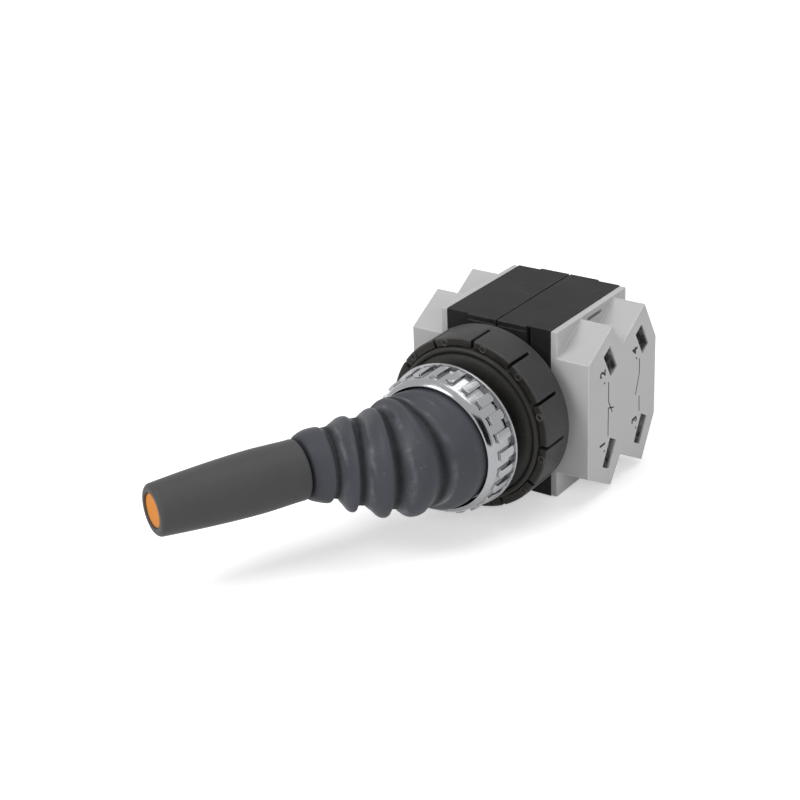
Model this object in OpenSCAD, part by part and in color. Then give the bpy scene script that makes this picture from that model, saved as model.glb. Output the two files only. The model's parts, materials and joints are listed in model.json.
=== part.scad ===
// Panel joystick with a maintained left and right position. A rubber bellows
// covers the lever, a castellated ring nut clamps the head to the panel, and two
// contact blocks with side terminal covers sit behind it.
// X runs to the operator's right, +Y into the panel and +Z up. The origin is the
// centre of the gasket's front face, where the back of the panel lies.
// The lever is drawn in its left position.

/* [Neck and operator body] */
// Outside diameter of the threaded neck
neck_d = 30; // [29:0.1:30.4]
// Wall of the neck
neck_wall = 1.7; // [1.4:0.1:2]
// Length of the neck in front of the panel seat
neck_l = 15.8; // [15.4:0.1:16]
// Diameter of the body behind the gasket
body_d = 43.2; // [42:0.2:44]
// Length of the body behind the gasket
body_l = 10.8; // [10:0.1:12]
// Height of the lever chamber in the body
chamber_h = 15.2; // [15:0.1:17]
// Running clearance round pins and plungers
run_gap = 0.05; // [0.03:0.01:0.08]
// Clearance between pieces that slide or hook together
loose_gap = 0.2; // [0.15:0.05:0.3]

/* [Gasket] */
// Thickness of the gasket
gasket_t = 2.2; // [1.5:0.1:2.6]
// Radius of the rounded sealing ridge
gasket_ridge_r = 0.9; // [0.6:0.1:1.1]

/* [Collar] */
// Wall of the slotted collar over the body's rim
collar_wall = 2.2; // [1.8:0.1:3.2]
// Length of the collar
collar_l = 11.6; // [11:0.1:11.8]
// Setback of the collar's front edge behind the panel seat
collar_back = 1.2; // [0.8:0.1:1.4]
// Number of slots round the collar
slot_count = 12; // [8:1:16]
// Width of a slot
slot_w = 1; // [0.6:0.1:1.6]
// Length of a slot from the front edge
slot_l = 8.6; // [6:0.2:9]
// Angle of the first slot above the X axis
slot_turn = 26; // [0:1:30]

/* [Ring nut] */
// Gap for the panel between the gasket and the ring nut
panel_gap = 6.4; // [5:0.1:6.4]
// Step from the nut's outside out to its flange
nut_flange_step = 1.5; // [1.2:0.1:2.4]
// Thickness of the nut's flange
nut_flange_t = 1; // [0.8:0.1:1.4]
// Wall of the nut round the bellows, between its lands
nut_wall = 1.55; // [1.3:0.05:1.9]
// Height of a raised land
land_h = 0.95; // [0.5:0.05:1]
// Number of raised lands
land_count = 24; // [12:2:30]
// Share of the pitch that a land fills
land_share = 0.5; // [0.3:0.05:0.7]
// Length of a land
land_l = 5.8; // [4:0.2:6.4]
// Length of the nut from flange to lip
nut_l = 9.9; // [9.6:0.1:10.2]
// Wall left at the polished front lip
lip_wall = 0.35; // [0.3:0.05:0.7]
// Axial length of the rounded front lip
lip_l = 1.7; // [1:0.1:2.4]
// Length of the nut's thread
nut_thread_l = 4.2; // [3:0.1:4.6]

/* [Lever] */
// Tilt of the lever to each side
lever_tilt = 25.5; // [20:0.5:26]
// Depth of the pivot behind the panel seat
pivot_depth = 4; // [3.8:0.1:4.4]
// Diameter of the pivot pin
pivot_d = 3; // [2.5:0.1:3.2]
// Length of the pivot pin
pivot_l = 25; // [22:0.5:28]
// Diameter of the lever rod
rod_d = 4.4; // [4:0.1:4.8]
// Distance from the pivot to the rod's inner end
rod_start = 2.6; // [2.4:0.1:3]
// Distance from the rod's outer end to the grip's end
rod_short = 8.2; // [7:0.2:14]
// Diameter of the hub's rod socket
socket_d = 10; // [9:0.2:11]
// Length of the hub's rod socket
socket_l = 9; // [7:0.5:10]
// Height of the lever hub
hub_h = 14; // [13.4:0.1:14.4]
// Diameter of the hub's upper flange
hub_d = 10; // [8:0.2:11]
// Diameter of the detent wheel
detent_d = 12; // [10:0.2:12.4]
// Radius of a detent notch
detent_notch_r = 1.1; // [1:0.05:1.3]
// Thickness of the detent leaf spring
detent_leaf_t = 0.4; // [0.3:0.05:0.5]
// Width across the flats of the lock nut
lock_af = 8; // [7:0.5:9]
// Thickness of the lock nut
lock_t = 4; // [3:0.5:4.5]

/* [Rocker and plungers] */
// Distance from the pivot to a rocker arm's tip, and to each plunger
rocker_reach = 5.8; // [5.6:0.1:6]
// Radius of a rocker tip
rocker_tip_r = 2; // [1.6:0.1:2.2]
// Half height of the rocker arms
rocker_half_h = 2.4; // [1.8:0.1:2.6]
// Gap between a rocker tip and its plunger
rocker_gap = 0.3; // [0.2:0.05:0.5]
// Diameter of a plunger's head
plunger_head_d = 4.8; // [4:0.2:5]
// Thickness of a plunger's head
plunger_head_t = 1.8; // [1.4:0.1:2]
// Diameter of a plunger's stem
plunger_d = 3.2; // [2.6:0.1:3.4]

/* [Grip] */
// Distance from the pivot to the grip's rear shoulder
grip_start = 52; // [51:0.5:54]
// Length of the grip
grip_l = 40.2; // [36:0.5:46]
// Diameter of the grip at its rear
grip_rear_d = 16; // [15:0.2:17]
// Rise of the grip's radius from its rear to its widest place
grip_swell = 0.25; // [0:0.05:0.8]
// Distance from the rear shoulder to the largest diameter
grip_max_at = 12; // [8:0.5:16]
// Fall of the grip's radius from its widest place to its tip
grip_taper = 1.45; // [0.6:0.05:2]
// Radius of the grip's rear edge
grip_rear_r = 1.5; // [0.8:0.1:2]
// Radius of the grip's front edge
grip_tip_r = 1.3; // [0.8:0.1:1.6]
// Diameter of the spigot that holds the bellows
spigot_d = 10.6; // [10:0.1:11]
// Length of the spigot
spigot_l = 5.6; // [4:0.2:6]
// Diameter of the coloured cap
cap_d = 9; // [7:0.2:10]
// Thickness of the coloured cap
cap_t = 1.2; // [0.8:0.1:2]
// Depth of the cap's face below the grip's end
cap_recess = 0.3; // [0.1:0.1:0.6]
// Length of the cap's peg
cap_peg_l = 3.6; // [2:0.2:4]
// Diameter of the cap's peg
cap_peg_d = 4; // [3:0.2:5]

/* [Bellows] */
// Wall of the bellows
boot_wall = 1; // [0.8:0.1:1.1]
// Wall of the bellows' skirt round the neck
boot_skirt_wall = 1.05; // [1:0.05:1.2]
// Length of the skirt that grips the neck
boot_skirt_l = 5; // [4:0.1:5.2]
// Wall of the bellows' small end round the spigot
boot_tail_wall = 1.7; // [1.2:0.1:2]
// Place of each fold crest, as a share of the way from the grip to the nut
boot_crest_at = [0.164, 0.355, 0.543, 0.71];
// Place of the valley behind each crest, as a share of the same way
boot_valley_at = [0.236, 0.422, 0.6, 0.815];
// Radius of each fold crest, from the grip to the base
boot_crest_r = [9.8, 12.1, 13.8, 14.5];
// Radius of the valley behind each crest
boot_valley_r = [8.4, 10.1, 11.6, 13.8];
// Share of a fold's flank that the flat floor of its valley takes
boot_floor = 0.2; // [0:0.05:0.3]
// Shift of the folds towards the grip at the bottom and away from it at the top
boot_sag = 0.7; // [0:0.1:1]
// Swell of the bellows where the lever presses its side outward
boot_swell = 2; // [1.6:0.1:2.4]
// Extra lean of the folds where the bellows bends
boot_lean = 28; // [0:1:29]

/* [Contact blocks] */
// Width of a block's inner case
case_w = 9; // [8.8:0.1:9.6]
// Width of a block's outer frame
frame_w = 7; // [6:0.1:8]
// Height of a block
block_h = 48.5; // [47:0.1:52]
// Depth of a block's inner case
case_l = 39.1; // [38.8:0.1:41]
// Step between the case and the frame at front and back
case_step = 0.8; // [0.4:0.1:1]
// Gap between the two blocks
block_gap = 0.2; // [0.1:0.1:0.4]
// Wall of cases and frames
block_wall = 1.8; // [1.4:0.1:2]
// Thickness of the coupling plate
plate_t = 2.7; // [2.4:0.1:3.2]
// Width of the coupling plate
plate_w = 31.6; // [30:0.2:32]
// Material left outside the block screws at the coupling plate's round ends
plate_edge = 0.8; // [0.6:0.1:1.4]
// Diameter of a screw between the plate and the body
head_screw_d = 2.5; // [2:0.1:3]
// Distance of those screws above and below the axis
head_screw_z = 13; // [12.8:0.1:14]
// Diameter of a block screw
block_screw_d = 3; // [2.5:0.1:3.2]
// Diameter of a block screw's head
block_screw_head_d = 5.6; // [5:0.1:5.8]
// Height of a block screw's head
block_screw_head_h = 2; // [1.6:0.1:2.4]
// Distance of the block screws from the top and bottom of a block
block_screw_inset = 5.85; // [5.7:0.05:6.4]

/* [Terminal covers] */
// Thickness of a cover's base plate
cover_t = 1.9; // [1.4:0.1:2.4]
// Setback of a cover's top and bottom edges from the block's
cover_inset = 0.25; // [0:0.05:0.8]
// Outward depth of the terminal housing
housing_w = 9.5; // [8:0.1:11]
// Setback of the prongs from the cover's top and bottom edges
prong_inset = 0.6; // [0:0.1:1.2]
// Fall of the housing's slant from the front prong to the front face
front_fall = 6.9; // [5.5:0.1:8]
// Depth of the front prong's tip
prong_front_y = 12.6; // [11.5:0.1:13.5]
// Depth of the notch between the prongs
notch_y = 18.2; // [17.6:0.1:18.6]
// Fall from the prongs to the bottom of the notch
notch_fall = 7.3; // [6.9:0.1:7.6]
// Distance of the rear prong's tip from the cover's rear edge
prong_rear_back = 6.9; // [6:0.1:8]
// Fall of the housing's slant from the rear prong to the rear face
rear_fall = 11.8; // [10.8:0.1:12.8]
// Length of a terminal window
window_l = 8.2; // [7:0.1:8.4]
// Width of a terminal window
window_w = 4; // [3.4:0.1:4.4]
// Angle of the terminal screws to the Y axis
window_turn = 29.5; // [27:0.5:32]
// Depth of the front windows' centres
window_front_y = 11.75; // [11.5:0.05:12.2]
// Distance of the rear windows' centres from the cover's rear edge
window_rear_back = 8; // [7.5:0.1:8.3]
// Distance of the windows' centres from the prongs' tips
window_fall = 9.9; // [9.6:0.1:10.2]
// Length of the latch slot near a cover's edge
latch_l = 7.6; // [5:0.2:9]
// Height of the latch slot
latch_h = 1; // [0.8:0.1:1.4]
// Depth of the latch slot behind the cover's front
latch_y = 16.4; // [14:0.2:18]
// Distance of the latch slot's middle from the cover's edge
latch_inset = 2.2; // [2:0.1:2.8]

/* [Terminals] */
// Thickness of a terminal strip
strip_t = 1; // [0.8:0.1:1.1]
// Width of a terminal strip
strip_w = 7.2; // [6:0.1:7.4]
// Reach of a terminal strip's end short of the window's face
strip_back = 3; // [1:0.2:4]
// Diameter of a terminal screw
term_screw_d = 2.8; // [2.4:0.1:3]
// Diameter of a terminal screw's head
term_head_d = 4.2; // [3.8:0.1:4.4]
// Height of a terminal screw's head
term_head_h = 1.8; // [1.4:0.1:2.2]
// Offset of a terminal screw from the window's centre
term_offset = 1.7; // [1.4:0.1:1.8]
// Side of the square wire clamp
clamp_w = 5.4; // [5:0.1:5.6]
// Thickness of the wire clamp
clamp_t = 0.9; // [0.7:0.1:1]

/* [Contacts] */
// Height of a contact carriage
carriage_h = 7; // [6:0.1:7.4]
// Width of a contact carriage
carriage_w = 5.8; // [5:0.1:6]
// Gap left between a pressed carriage and the case's rear wall
carriage_end_gap = 0.5; // [0.3:0.1:0.8]
// Thickness of a contact bridge
bridge_t = 0.8; // [0.6:0.1:0.9]
// Length of a contact bridge
bridge_l = 15.2; // [14.8:0.2:16]
// Width of a contact bridge
bridge_w = 3; // [2.4:0.1:3.4]
// Distance of the contact buttons from the axis
button_z = 6.2; // [6:0.1:6.6]
// Radius of a contact button
button_r = 1.2; // [0.8:0.1:1.4]
// Height of a fixed contact button
fixed_button_h = 0.6; // [0.4:0.1:0.7]
// Height of a bridge's contact button
bridge_button_h = 0.4; // [0.3:0.1:0.5]
// Gap left between closed contacts
contact_gap = 0.2; // [0.15:0.05:0.3]
// Length of the spring space behind a bridge
bridge_spring_l = 3.2; // [2.8:0.1:3.4]
// Wire of the coil springs
spring_wire = 0.45; // [0.3:0.05:0.5]
// Radius of the return springs
return_spring_r = 1.8; // [1.4:0.1:1.9]
// Depth of the return spring's pocket in the carriage
spring_pocket_l = 6; // [5:0.1:6.4]

/* [Hidden] */
$fn = 64;
eps = 0.01;
// Places along Y
body_y0 = gasket_t;
body_y1 = body_y0 + body_l;
case_y0 = body_y1 + plate_t;
case_y1 = case_y0 + case_l;
frame_y0 = case_y0 + case_step;
frame_y1 = case_y1 - case_step;
nut_y = -panel_gap;
nut_front = nut_y - nut_l;
neck_front = -neck_l;
neck_in_r = neck_d / 2 - neck_wall;
// Places along X of one block
case_x0 = block_gap / 2;
case_x1 = case_x0 + case_w;
frame_x1 = case_x1 + frame_w;
plate_x1 = frame_x1 + cover_t;
housing_x1 = plate_x1 + housing_w;
case_mid_x = (case_x0 + case_x1) / 2 - 0.3;
// Places along Z, and of the prongs and windows behind a cover's front edge
cover_h = block_h - 2 * cover_inset;
cover_l = frame_y1 - frame_y0;
prong_z = cover_h / 2 - prong_inset;
housing_front_z = prong_z - front_fall;
housing_rear_z = prong_z - rear_fall;
notch_z = prong_z - notch_fall;
window_z = prong_z - window_fall;
latch_z = cover_h / 2 - latch_inset;
prong_rear_y = cover_l - prong_rear_back;
window_rear_y = cover_l - window_rear_back;
screw_way_l = window_fall + window_w / 2;
block_screw_z = block_h / 2 - block_screw_inset;
plate_r = norm([case_mid_x, block_screw_z]) + block_screw_d / 2 + plate_edge;
// Collar seat on the body
collar_lip_l = 1;
collar_lip_h = 1.4;
collar_in_r = body_d / 2 + loose_gap;
collar_r = collar_in_r + collar_wall;
collar_y1 = collar_back + collar_l;
// Rocker and plunger travel
half_travel = rocker_reach * sin(lever_tilt);
travel = 2 * half_travel;
rocker_hub_r = 2.6;
head_screw_l = 5;
// Stations along the lever, measured from the pivot
grip_end = grip_start + grip_l;
rod_end = grip_end - rod_short;
spigot_start = grip_start - spigot_l;
boot_start = pivot_depth - nut_front + 0.2;
boot_foot = boot_start - boot_skirt_l;
boot_top = grip_start - loose_gap;
// The skirt lies a quarter of a millimetre off the neck
boot_skirt_gap = 0.25;
boot_base_r = neck_d / 2 + boot_skirt_gap + boot_skirt_wall;
boot_end_r = spigot_d / 2 + loose_gap + boot_tail_wall;
boot_folds = len(boot_crest_r);
boot_way = boot_top - boot_start;
boot_snug_l = 1.2;
boot_tail_l = 2.8;
bend_start = boot_start;
bend_end = boot_top - boot_snug_l;
boot_bead = 0.7;
neck_groove_d = 0.9;
neck_groove_w = 1.9;
neck_groove_s = boot_foot + boot_skirt_l * 0.42;
// Contact stations of a released block, along Y
strip_y_nc = frame_y0 + window_front_y + 0.45;
strip_y_no = frame_y0 + window_rear_y + 0.5;
leg_start_z = 4.8;
leg_end_z = window_z - 2.9;
nc_face = strip_y_nc + strip_t / 2 + fixed_button_h;
no_face = strip_y_no - strip_t / 2 - fixed_button_h;
nc_bridge = nc_face + contact_gap + bridge_button_h;
no_bridge = no_face - contact_gap - bridge_button_h - bridge_t - travel;
nc_window_end = nc_bridge + bridge_t + bridge_spring_l;
no_window_start = no_bridge - bridge_spring_l;
carriage_y0 = case_y0 + block_wall + 0.5;
spring_seat = case_y1 - block_wall;
carriage_y1 = spring_seat - travel - carriage_end_gap;
pocket_y = carriage_y1 - spring_pocket_l;
rib_t = 0.9;
rib_gap = 0.2;
guide_l = 7;

function smooth(t) = t * t * (3 - 2 * t);
function clip(t) = max(0, min(1, t));
function mix(a, b, t) = a + (b - a) * t;
function wave(a, b, t) = mix(a, b, (1 - cos(180 * t)) / 2);
// Points of an arc from angle a to angle b
function arc(cx, cy, r, a, b, n) =
    [for (i = [0:n]) [cx + r * cos(mix(a, b, i / n)), cy + r * sin(mix(a, b, i / n))]];

module black_plastic() color([0.17, 0.17, 0.18]) children();
module grey_plastic() color([0.30, 0.30, 0.32]) children();
module rubber() color([0.12, 0.12, 0.12]) children();
module cover_plastic() color([0.76, 0.76, 0.76]) children();
module steel() color([0.72, 0.72, 0.74]) children();
module brass() color([0.78, 0.66, 0.36]) children();

// Turns children so that their Z runs along +Y
module along_y() rotate([-90, 0, 0]) children();
// Puts children in the tilted lever's frame, with the pivot at its origin
module at_lever() translate([0, pivot_depth, 0]) rotate([0, 0, -lever_tilt]) children();
// The same frame with Z running out along the lever
module along_lever() at_lever() rotate([90, 0, 0]) children();
module box(low, high) translate(low) cube(high - low);
// Disc or tube whose axis is Y, from y0 to y1
module disc_y(r, y0, y1) translate([0, y0, 0]) along_y() cylinder(h = y1 - y0, r = r);
// Draws children for the left block from a drawing of the right one
module side(s) scale([1, 1, 1]) if (s > 0) children(); else mirror([1, 0, 0]) children();

// Coil of round wire along +Z, with its axis on Z
module coil(r, wire, length, turns, per_turn = 10, sides = 6) {
    n = ceil(turns * per_turn);
    rise = length - wire;
    ring = [for (i = [0:n]) for (j = [0:sides - 1])
        let (a = 360 * turns * i / n, b = 360 * j / sides, q = r + wire / 2 * cos(b))
            [q * cos(a), q * sin(a), wire / 2 + rise * i / n + wire / 2 * sin(b)]];
    skin = [for (i = [0:n - 1]) for (j = [0:sides - 1])
        let (k = (j + 1) % sides, p = i * sides)
            [p + j, p + sides + j, p + sides + k, p + k]];
    foot = [[for (j = [0:sides - 1]) j]];
    top = [[for (j = [sides - 1:-1:0]) n * sides + j]];
    polyhedron(points = ring, faces = concat(skin, foot, top), convexity = 6);
}

// Operator head
module operator_body() black_plastic() difference() {
    union() {
        disc_y(neck_d / 2, neck_front, body_y0 + 1);
        disc_y(body_d / 2, body_y0, body_y1 - collar_lip_l - 0.3);
        disc_y(body_d / 2 - collar_lip_h, body_y0, body_y1);
    }
    // Bore of the neck, and the groove for the bellows' bead
    disc_y(neck_in_r, neck_front - 1, 0);
    translate([0, pivot_depth - neck_groove_s, 0]) along_y()
        rotate_extrude() translate([neck_d / 2 - neck_groove_d, -neck_groove_w / 2])
            square([neck_groove_d + 1, neck_groove_w]);
    // Chamber for the hub, open at the back
    box([-neck_in_r, -eps, -chamber_h / 2], [neck_in_r, body_y1 + 1, chamber_h / 2]);
    // Pivot hole, drilled from the top under the collar
    translate([0, pivot_depth, -pivot_l / 2]) cylinder(h = pivot_l / 2 + body_d, r = pivot_d / 2);
    for (t = [-1, 1]) translate([0, 0, t * head_screw_z])
        disc_y(head_screw_d / 2, body_y1 - head_screw_l, body_y1 + 1);
}

// Screws that hold the coupling plate to the body, with heads sunk in the plate
module head_screws() steel() for (t = [-1, 1]) translate([0, 0, t * head_screw_z]) difference() {
    union() {
        disc_y(head_screw_d / 2, body_y1 - head_screw_l + 0.3, case_y0 - 1);
        disc_y(head_screw_d / 2 + 1, case_y0 - 1.4, case_y0 - 0.1);
    }
    box([-0.35, case_y0 - 0.7, -5], [0.35, case_y0 + 1, 5]);
}

module gasket() rubber() along_y() rotate_extrude($fn = 96) {
    inner = neck_d / 2 + loose_gap;
    outer = body_d / 2;
    r = gasket_ridge_r;
    polygon(concat(
        [[inner, gasket_t], [inner, 0], [outer - 3.2 * r, 0], [outer - 2.7 * r, 0.4]],
        arc(outer - r, r, r, 200, 360, 8),
        [[outer, gasket_t]]));
}

module collar() grey_plastic() difference() {
    along_y() rotate_extrude($fn = 96) polygon([
        [collar_in_r, collar_back], [collar_r - 0.3, collar_back],
        [collar_r, collar_back + 0.3], [collar_r, collar_y1 - 0.4],
        [collar_r - 0.4, collar_y1], [body_d / 2 - collar_lip_h + loose_gap, collar_y1],
        [body_d / 2 - collar_lip_h + loose_gap, collar_y1 - collar_lip_l],
        [collar_in_r, collar_y1 - collar_lip_l]]);
    for (i = [0:slot_count - 1]) rotate([0, -slot_turn - 360 * i / slot_count, 0])
        box([collar_in_r - 1, collar_back - 1, -slot_w / 2],
            [2 * collar_r, collar_back + slot_l, slot_w / 2]);
}

module ring_nut() steel() {
    bore = neck_d / 2 + run_gap;
    recess = boot_base_r + 0.65;
    core = recess + nut_wall;
    flange = core + nut_flange_step;
    lip = recess + lip_wall;
    translate([0, nut_y, 0]) rotate([90, 0, 0]) {
        rotate_extrude($fn = 96) polygon(concat(
            [[bore, 0], [flange - 0.3, 0], [flange, 0.3], [flange, nut_flange_t],
             [core, nut_flange_t]],
            [for (i = [0:8]) let (a = 90 * i / 8)
                [lip + (core - lip) * cos(a), nut_l - lip_l + lip_l * sin(a)]],
            [[recess, nut_l], [recess, nut_thread_l], [bore, nut_thread_l]]));
        for (i = [0:land_count - 1]) rotate([0, 0, (i + 0.46) * 360 / land_count - 7.5])
            translate([0, 0, nut_flange_t - eps])
                rotate_extrude(angle = 360 / land_count * land_share)
                    translate([core - 0.5, 0]) square([land_h + 0.5, land_l]);
    }
}

module coupling_plate() black_plastic() difference() {
    disc_y(plate_r, body_y1, case_y0);
    for (s = [-1, 1]) {
        scale([s, 1, 1]) box([plate_w / 2, body_y1 - 1, -plate_r - 1],
            [plate_r + 1, case_y0 + 1, plate_r + 1]);
        translate([s * rocker_reach, 0, 0]) disc_y(plunger_d / 2 + run_gap, body_y1 - 1, case_y0 + 1);
        for (t = [-1, 1]) translate([s * case_mid_x, 0, t * block_screw_z])
            disc_y(block_screw_d / 2, body_y1 - 1, case_y0 + 1);
        translate([0, 0, s * head_screw_z]) {
            disc_y(head_screw_d / 2, body_y1 - 1, case_y0 + 1);
            disc_y(head_screw_d / 2 + 1, case_y0 - 1.4, case_y0 + 1);
        }
    }
}

module pivot_pin() steel() translate([0, pivot_depth, -pivot_l / 2])
    cylinder(h = pivot_l, r = pivot_d / 2);

// Leaf spring with a round nose that drops into a notch of the detent wheel
module detent_spring() steel() {
    t = detent_leaf_t;
    nose = detent_notch_r - 0.35;
    rim = pivot_depth + detent_d / 2;
    seat = body_y1 - t;
    span = neck_in_r - 1.5;
    z0 = -hub_h / 2 + 0.3;
    leaf_h = hub_h / 2 - rocker_half_h - 1.2;
    foot = 4;
    translate([0, 0, z0]) linear_extrude(leaf_h) polygon(concat(
        [[-span, seat], [foot - span, seat]], arc(0, rim + 0.1, nose, 200, 340, 12),
        [[span - foot, seat], [span, seat], [span, seat + t], [span - foot, seat + t]],
        arc(0, rim + 0.1, nose - t, 340, 200, 12),
        [[foot - span, seat + t], [-span, seat + t]]));
}

// Lever hub with its rocker arms, rod socket and detent wheel
module lever_hub() steel() at_lever() difference() {
    union() {
        translate([0, 0, rocker_half_h + 0.6])
            cylinder(h = hub_h / 2 - rocker_half_h - 0.6, r = hub_d / 2);
        translate([0, 0, -rocker_half_h - 1]) cylinder(h = 2 * rocker_half_h + 2, r = rocker_hub_r);
        difference() {
            translate([0, 0, -hub_h / 2])
                cylinder(h = hub_h / 2 - rocker_half_h - 0.6, r = detent_d / 2);
            for (a = [-lever_tilt, 0, lever_tilt]) rotate([0, 0, a])
                translate([0, detent_d / 2, -hub_h / 2 - 1])
                    cylinder(h = hub_h / 2, r = detent_notch_r);
        }
        box([-rocker_reach, -rocker_tip_r, -rocker_half_h], [rocker_reach, 0, rocker_half_h]);
        for (s = [-1, 1]) translate([s * rocker_reach, 0, -rocker_half_h])
            cylinder(h = 2 * rocker_half_h, r = rocker_tip_r);
        rotate([90, 0, 0]) difference() {
            cylinder(h = socket_l, r = socket_d / 2);
            translate([-socket_d, -socket_d, -1]) cube([2 * socket_d, 2 * socket_d, 1 + eps]);
        }
    }
    rotate([90, 0, 0]) translate([0, 0, rod_start]) cylinder(h = socket_l, r = rod_d / 2);
    translate([0, 0, -hub_h]) cylinder(h = 2 * hub_h, r = pivot_d / 2 + run_gap);
}

module lever_rod() steel() along_lever() translate([0, 0, rod_start])
    cylinder(h = rod_end - rod_start, r = rod_d / 2);

module lock_nut() steel() along_lever() translate([0, 0, spigot_start - lock_t]) difference() {
    cylinder(h = lock_t, r = lock_af / 2 / cos(30), $fn = 6);
    translate([0, 0, -1]) cylinder(h = lock_t + 2, r = rod_d / 2);
}

// Half outline of the grip, from the spigot to the cap's seat
function grip_outline() =
    let (rr = grip_rear_r, rt = grip_tip_r, mid = grip_start + grip_max_at,
         rear = grip_rear_d / 2, top = rear + grip_swell, tip = top - grip_taper)
    concat(
        [[rod_d / 2, spigot_start], [spigot_d / 2, spigot_start], [spigot_d / 2, grip_start]],
        arc(rear - rr, grip_start + rr, rr, -90, 0, 6),
        [for (i = [1:5]) [wave(rear, top, i / 6), mix(grip_start + rr, mid, i / 6)]],
        [for (i = [0:8]) let (t = i / 8)
            [mix(top, tip, pow(t, 1.6)), mix(mid, grip_end - rt, t)]],
        arc(tip - rt, grip_end - rt, rt, 8, 90, 6),
        [[cap_d / 2 + 0.05, grip_end], [cap_d / 2 + 0.05, grip_end - cap_recess - cap_t],
         [cap_peg_d / 2, grip_end - cap_recess - cap_t],
         [cap_peg_d / 2, rod_end], [rod_d / 2, rod_end]]);

module grip() grey_plastic() along_lever() rotate_extrude() polygon(grip_outline());

module grip_cap() color([0.93, 0.50, 0.16]) along_lever() translate([0, 0, grip_end - cap_recess - cap_t]) {
    cylinder(h = cap_t, r = cap_d / 2);
    translate([0, 0, -cap_peg_l]) cylinder(h = cap_peg_l + eps, r = cap_peg_d / 2);
}

// Stations and radii of the bellows' outer side, from the base to the grip
function boot_extremes() =
    concat(
        [[boot_start, boot_base_r]],
        [for (i = [boot_folds - 1:-1:0]) each [
            [boot_top - boot_way * boot_valley_at[i], boot_valley_r[i]],
            [boot_top - boot_way * boot_crest_at[i], boot_crest_r[i]]]],
        [[boot_top - boot_tail_l - 0.2, boot_end_r]]);
// Radius on the way from one extreme to the next: a flat floor beside the lower one
function fold(a, b, t) =
    let (rest = 1 - boot_floor, q = a < b ? (t - boot_floor) / rest : t / rest)
    wave(a, b, clip(q));
// Outer profile with flat-floored folds between the extremes
function boot_outer() =
    let (e = boot_extremes(), steps = 5)
    concat(
        [[boot_foot, boot_base_r]],
        [for (i = [0:len(e) - 2]) for (j = [0:steps - 1])
            [mix(e[i][0], e[i + 1][0], j / steps), fold(e[i][1], e[i + 1][1], j / steps)]],
        [e[len(e) - 1], [boot_top, boot_end_r]]);
// Inner profile, one wall inside, with the bead in the neck's groove and a snug small end
function boot_inner() =
    let (outer = boot_outer(), last = len(outer) - 1,
         neck_r = neck_d / 2 + boot_skirt_gap, bead_r = neck_r - boot_bead, g = neck_groove_s)
    concat(
        [[boot_foot, neck_r], [g - 0.6, neck_r], [g - 0.3, bead_r], [g + 0.3, bead_r],
         [g + 0.6, neck_r], [boot_start - 0.2, neck_r]],
        [for (i = [2:last - 2]) [outer[i][0], outer[i][1] - boot_wall]],
        [[boot_top - boot_tail_l, spigot_d / 2 + 2 * loose_gap],
         [boot_top - boot_snug_l, spigot_d / 2 + loose_gap], [boot_top, spigot_d / 2 + loose_gap]]);
// A point of the bellows at station s, radius r and angle a round the lever, bent
// with the lever: each ring turns about the pivot, leans and sags a little more
// mid-way and swells on the side that the lever presses
function bent(s, r, a) =
    let (t = clip((s - bend_start) / (bend_end - bend_start)),
         turn = lever_tilt * smooth(t), lean = turn + boot_lean * pow(sin(180 * t), 1.5),
         side = max(0, -cos(a)), q = r + boot_swell * side * side * side * pow(sin(180 * t), 2),
         x = q * cos(a), w = s - boot_sag * sin(180 * t) * sin(a))
    [-w * sin(turn) + x * cos(lean), pivot_depth - w * cos(turn) - x * sin(lean), q * sin(a)];

module boot() color([0.29, 0.30, 0.33]) {
    sides = 32;
    loop = concat(boot_outer(), [for (i = [len(boot_inner()) - 1:-1:0]) boot_inner()[i]]);
    n = len(loop);
    points = [for (p = loop) for (j = [0:sides - 1]) bent(p[0], p[1], 360 * j / sides)];
    faces = [for (i = [0:n - 1]) for (j = [0:sides - 1])
        let (k = (j + 1) % sides, p = i * sides, q = ((i + 1) % n) * sides)
            [p + j, q + j, q + k, p + k]];
    polyhedron(points = points, faces = faces, convexity = 8);
}

// Plunger between a rocker tip and its contact carriage
module plunger(s, shift) black_plastic() translate([s * rocker_reach, shift, 0]) {
    head = pivot_depth + rocker_tip_r + rocker_gap - half_travel;
    disc_y(plunger_head_d / 2, head, head + plunger_head_t);
    disc_y(plunger_d / 2, head, carriage_y0);
}

// Contact carriage with a window for each bridge and a pocket for its return spring
module carriage(s, shift) color([0.60, 0.14, 0.12]) translate([s * rocker_reach, shift, 0])
    difference() {
        box([-carriage_w / 2, carriage_y0, -carriage_h / 2],
            [carriage_w / 2, carriage_y1, carriage_h / 2]);
        box([-bridge_w / 2 - 0.1, nc_bridge, -carriage_h],
            [bridge_w / 2 + 0.1, nc_window_end, carriage_h]);
        box([-bridge_w / 2 - 0.1, no_window_start, -carriage_h],
            [bridge_w / 2 + 0.1, no_bridge + bridge_t, carriage_h]);
        disc_y(return_spring_r + spring_wire / 2 + 0.2, pocket_y, carriage_y1 + 1);
    }

// The normally closed and the normally open bridge of one block
module bridges(s, shift) brass() translate([s * rocker_reach, shift, 0]) {
    for (b = [[nc_bridge, -1], [no_bridge, 1]]) {
        box([-bridge_w / 2, b[0], -bridge_l / 2], [bridge_w / 2, b[0] + bridge_t, bridge_l / 2]);
        for (t = [-1, 1]) translate([0, 0, t * button_z])
            disc_y(button_r, b[1] < 0 ? b[0] - bridge_button_h : b[0] + bridge_t - eps,
                b[1] < 0 ? b[0] + eps : b[0] + bridge_t + bridge_button_h);
    }
}

module contact_springs(s, shift) steel() translate([s * rocker_reach, shift, 0]) {
    translate([0, nc_bridge + bridge_t, 0]) along_y() coil(1.1, 0.35, bridge_spring_l, 3.5);
    translate([0, no_window_start, 0]) along_y() coil(1.1, 0.35, bridge_spring_l, 3.5);
}

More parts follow.
